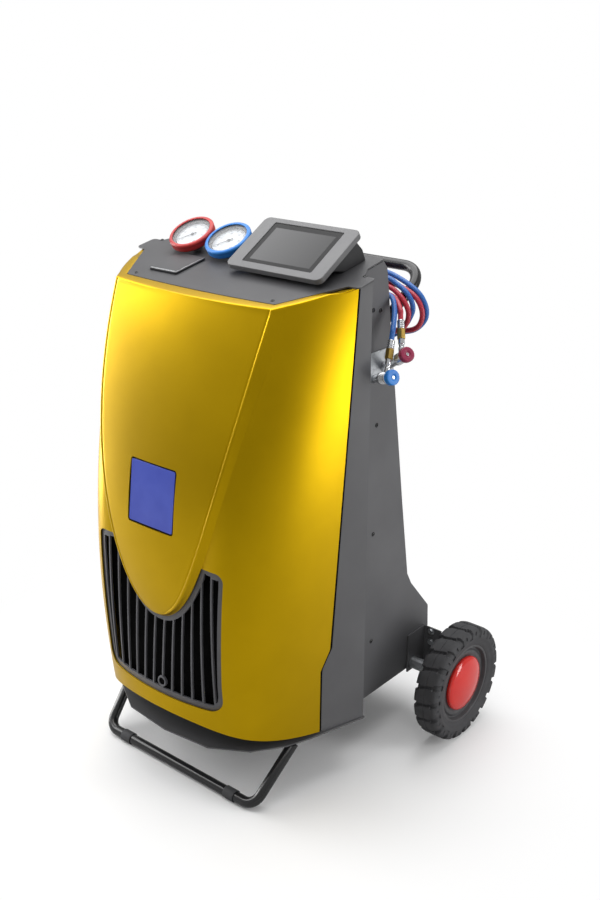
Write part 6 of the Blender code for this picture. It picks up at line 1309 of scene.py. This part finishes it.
# %% Floor and light
FLOOR_REACH, FADE_FROM, FADE_TO, ROOM_LIGHT = 60.0, 0.30, 0.90, 0.45
FLOOR, tree, shader, spot = blank("pale_floor")
shader.inputs["Roughness"].default_value = 0.7
shader.inputs["Specular IOR Level"].default_value = 0.15
far = add(tree, "VectorMath", {0: spot}, operation="LENGTH")
fade = add(tree, "MapRange", {"Value": far.outputs["Value"], "From Min": FADE_FROM, "From Max": FADE_TO},
           interpolation_type="SMOOTHSTEP")
paths = add(tree, "LightPath")
pale = add(tree, "Mix", {0: paths.outputs["Is Camera Ray"], 6: linear("#BEBEBE"), 7: linear("#FAFAFA")},
           data_type="RGBA")
tree.links.new(pale.outputs[2], shader.inputs["Base Color"])
both = add(tree, "Math", {0: fade.outputs["Result"], 1: paths.outputs["Is Camera Ray"]},
           operation="MULTIPLY")
white = add(tree, "Emission", {"Color": (1, 1, 1, 1), "Strength": 1.0})
mix = add(tree, "MixShader", {0: both.outputs[0], 1: shader.outputs["BSDF"], 2: white.outputs["Emission"]})
tree.links.new(mix.outputs[0], tree.nodes["Material Output"].inputs["Surface"])
floor_mesh = bpy.data.meshes.new("floor")
corners = [(x * FLOOR_REACH, y * FLOOR_REACH, 0) for x, y in ((-1, -1), (1, -1), (1, 1), (-1, 1))]
floor_mesh.from_pydata(corners, [], [(0, 1, 2, 3)])
floor_mesh.materials.append(FLOOR)
floor = linked("floor", floor_mesh)

world = bpy.data.worlds.new("soft_room")
bpy.context.scene.world = world
world.use_nodes = True
sky = world.node_tree
soft = sky.nodes["Background"]
soft.inputs["Color"].default_value = (1, 1, 1, 1)
soft.inputs["Strength"].default_value = ROOM_LIGHT
bright = add(sky, "Background", {"Color": (1, 1, 1, 1), "Strength": 1.0})
rays = add(sky, "LightPath")
pick = add(sky, "MixShader", {0: rays.outputs["Is Camera Ray"], 1: soft.outputs[0], 2: bright.outputs[0]})
sky.links.new(pick.outputs[0], sky.nodes["World Output"].inputs["Surface"])


def lamp(name, place, aim, size, power):
    """An area lamp that faces a point."""
    light = bpy.data.lights.new(name, "AREA")
    light.shape = "RECTANGLE"
    light.size, light.size_y = size
    light.energy = power
    made = linked(name, light)
    out = unit(np.array(place) - np.array(aim))
    x = unit(np.cross((0, 0, 1), out))
    y = np.cross(out, x)
    stood(made, x, y, out, place)


LAMPS = {
    "key_softbox": ((-2.9, -1.4, 2.5), (-0.5, -0.6, 0.1), (2.0, 2.0), 54.0),
    "top_softbox": ((-0.3, 0.3, 2.7), (0, 0.0, 0.6), (2.6, 2.6), 54.0),
    "right_strip": ((2.0, 0.80, 0.65), (0.2, 0, 0.6), (0.5, 2.2), 22.0),
    "left_strip": ((-2.2, -0.65, 0.50), (-0.2, 0, 0.6), (0.9, 1.6), 32.0),
}
for name, (place, aim, size, watts) in LAMPS.items():
    lamp(name, place, aim, size, watts)
print("lamps:", len(LAMPS))
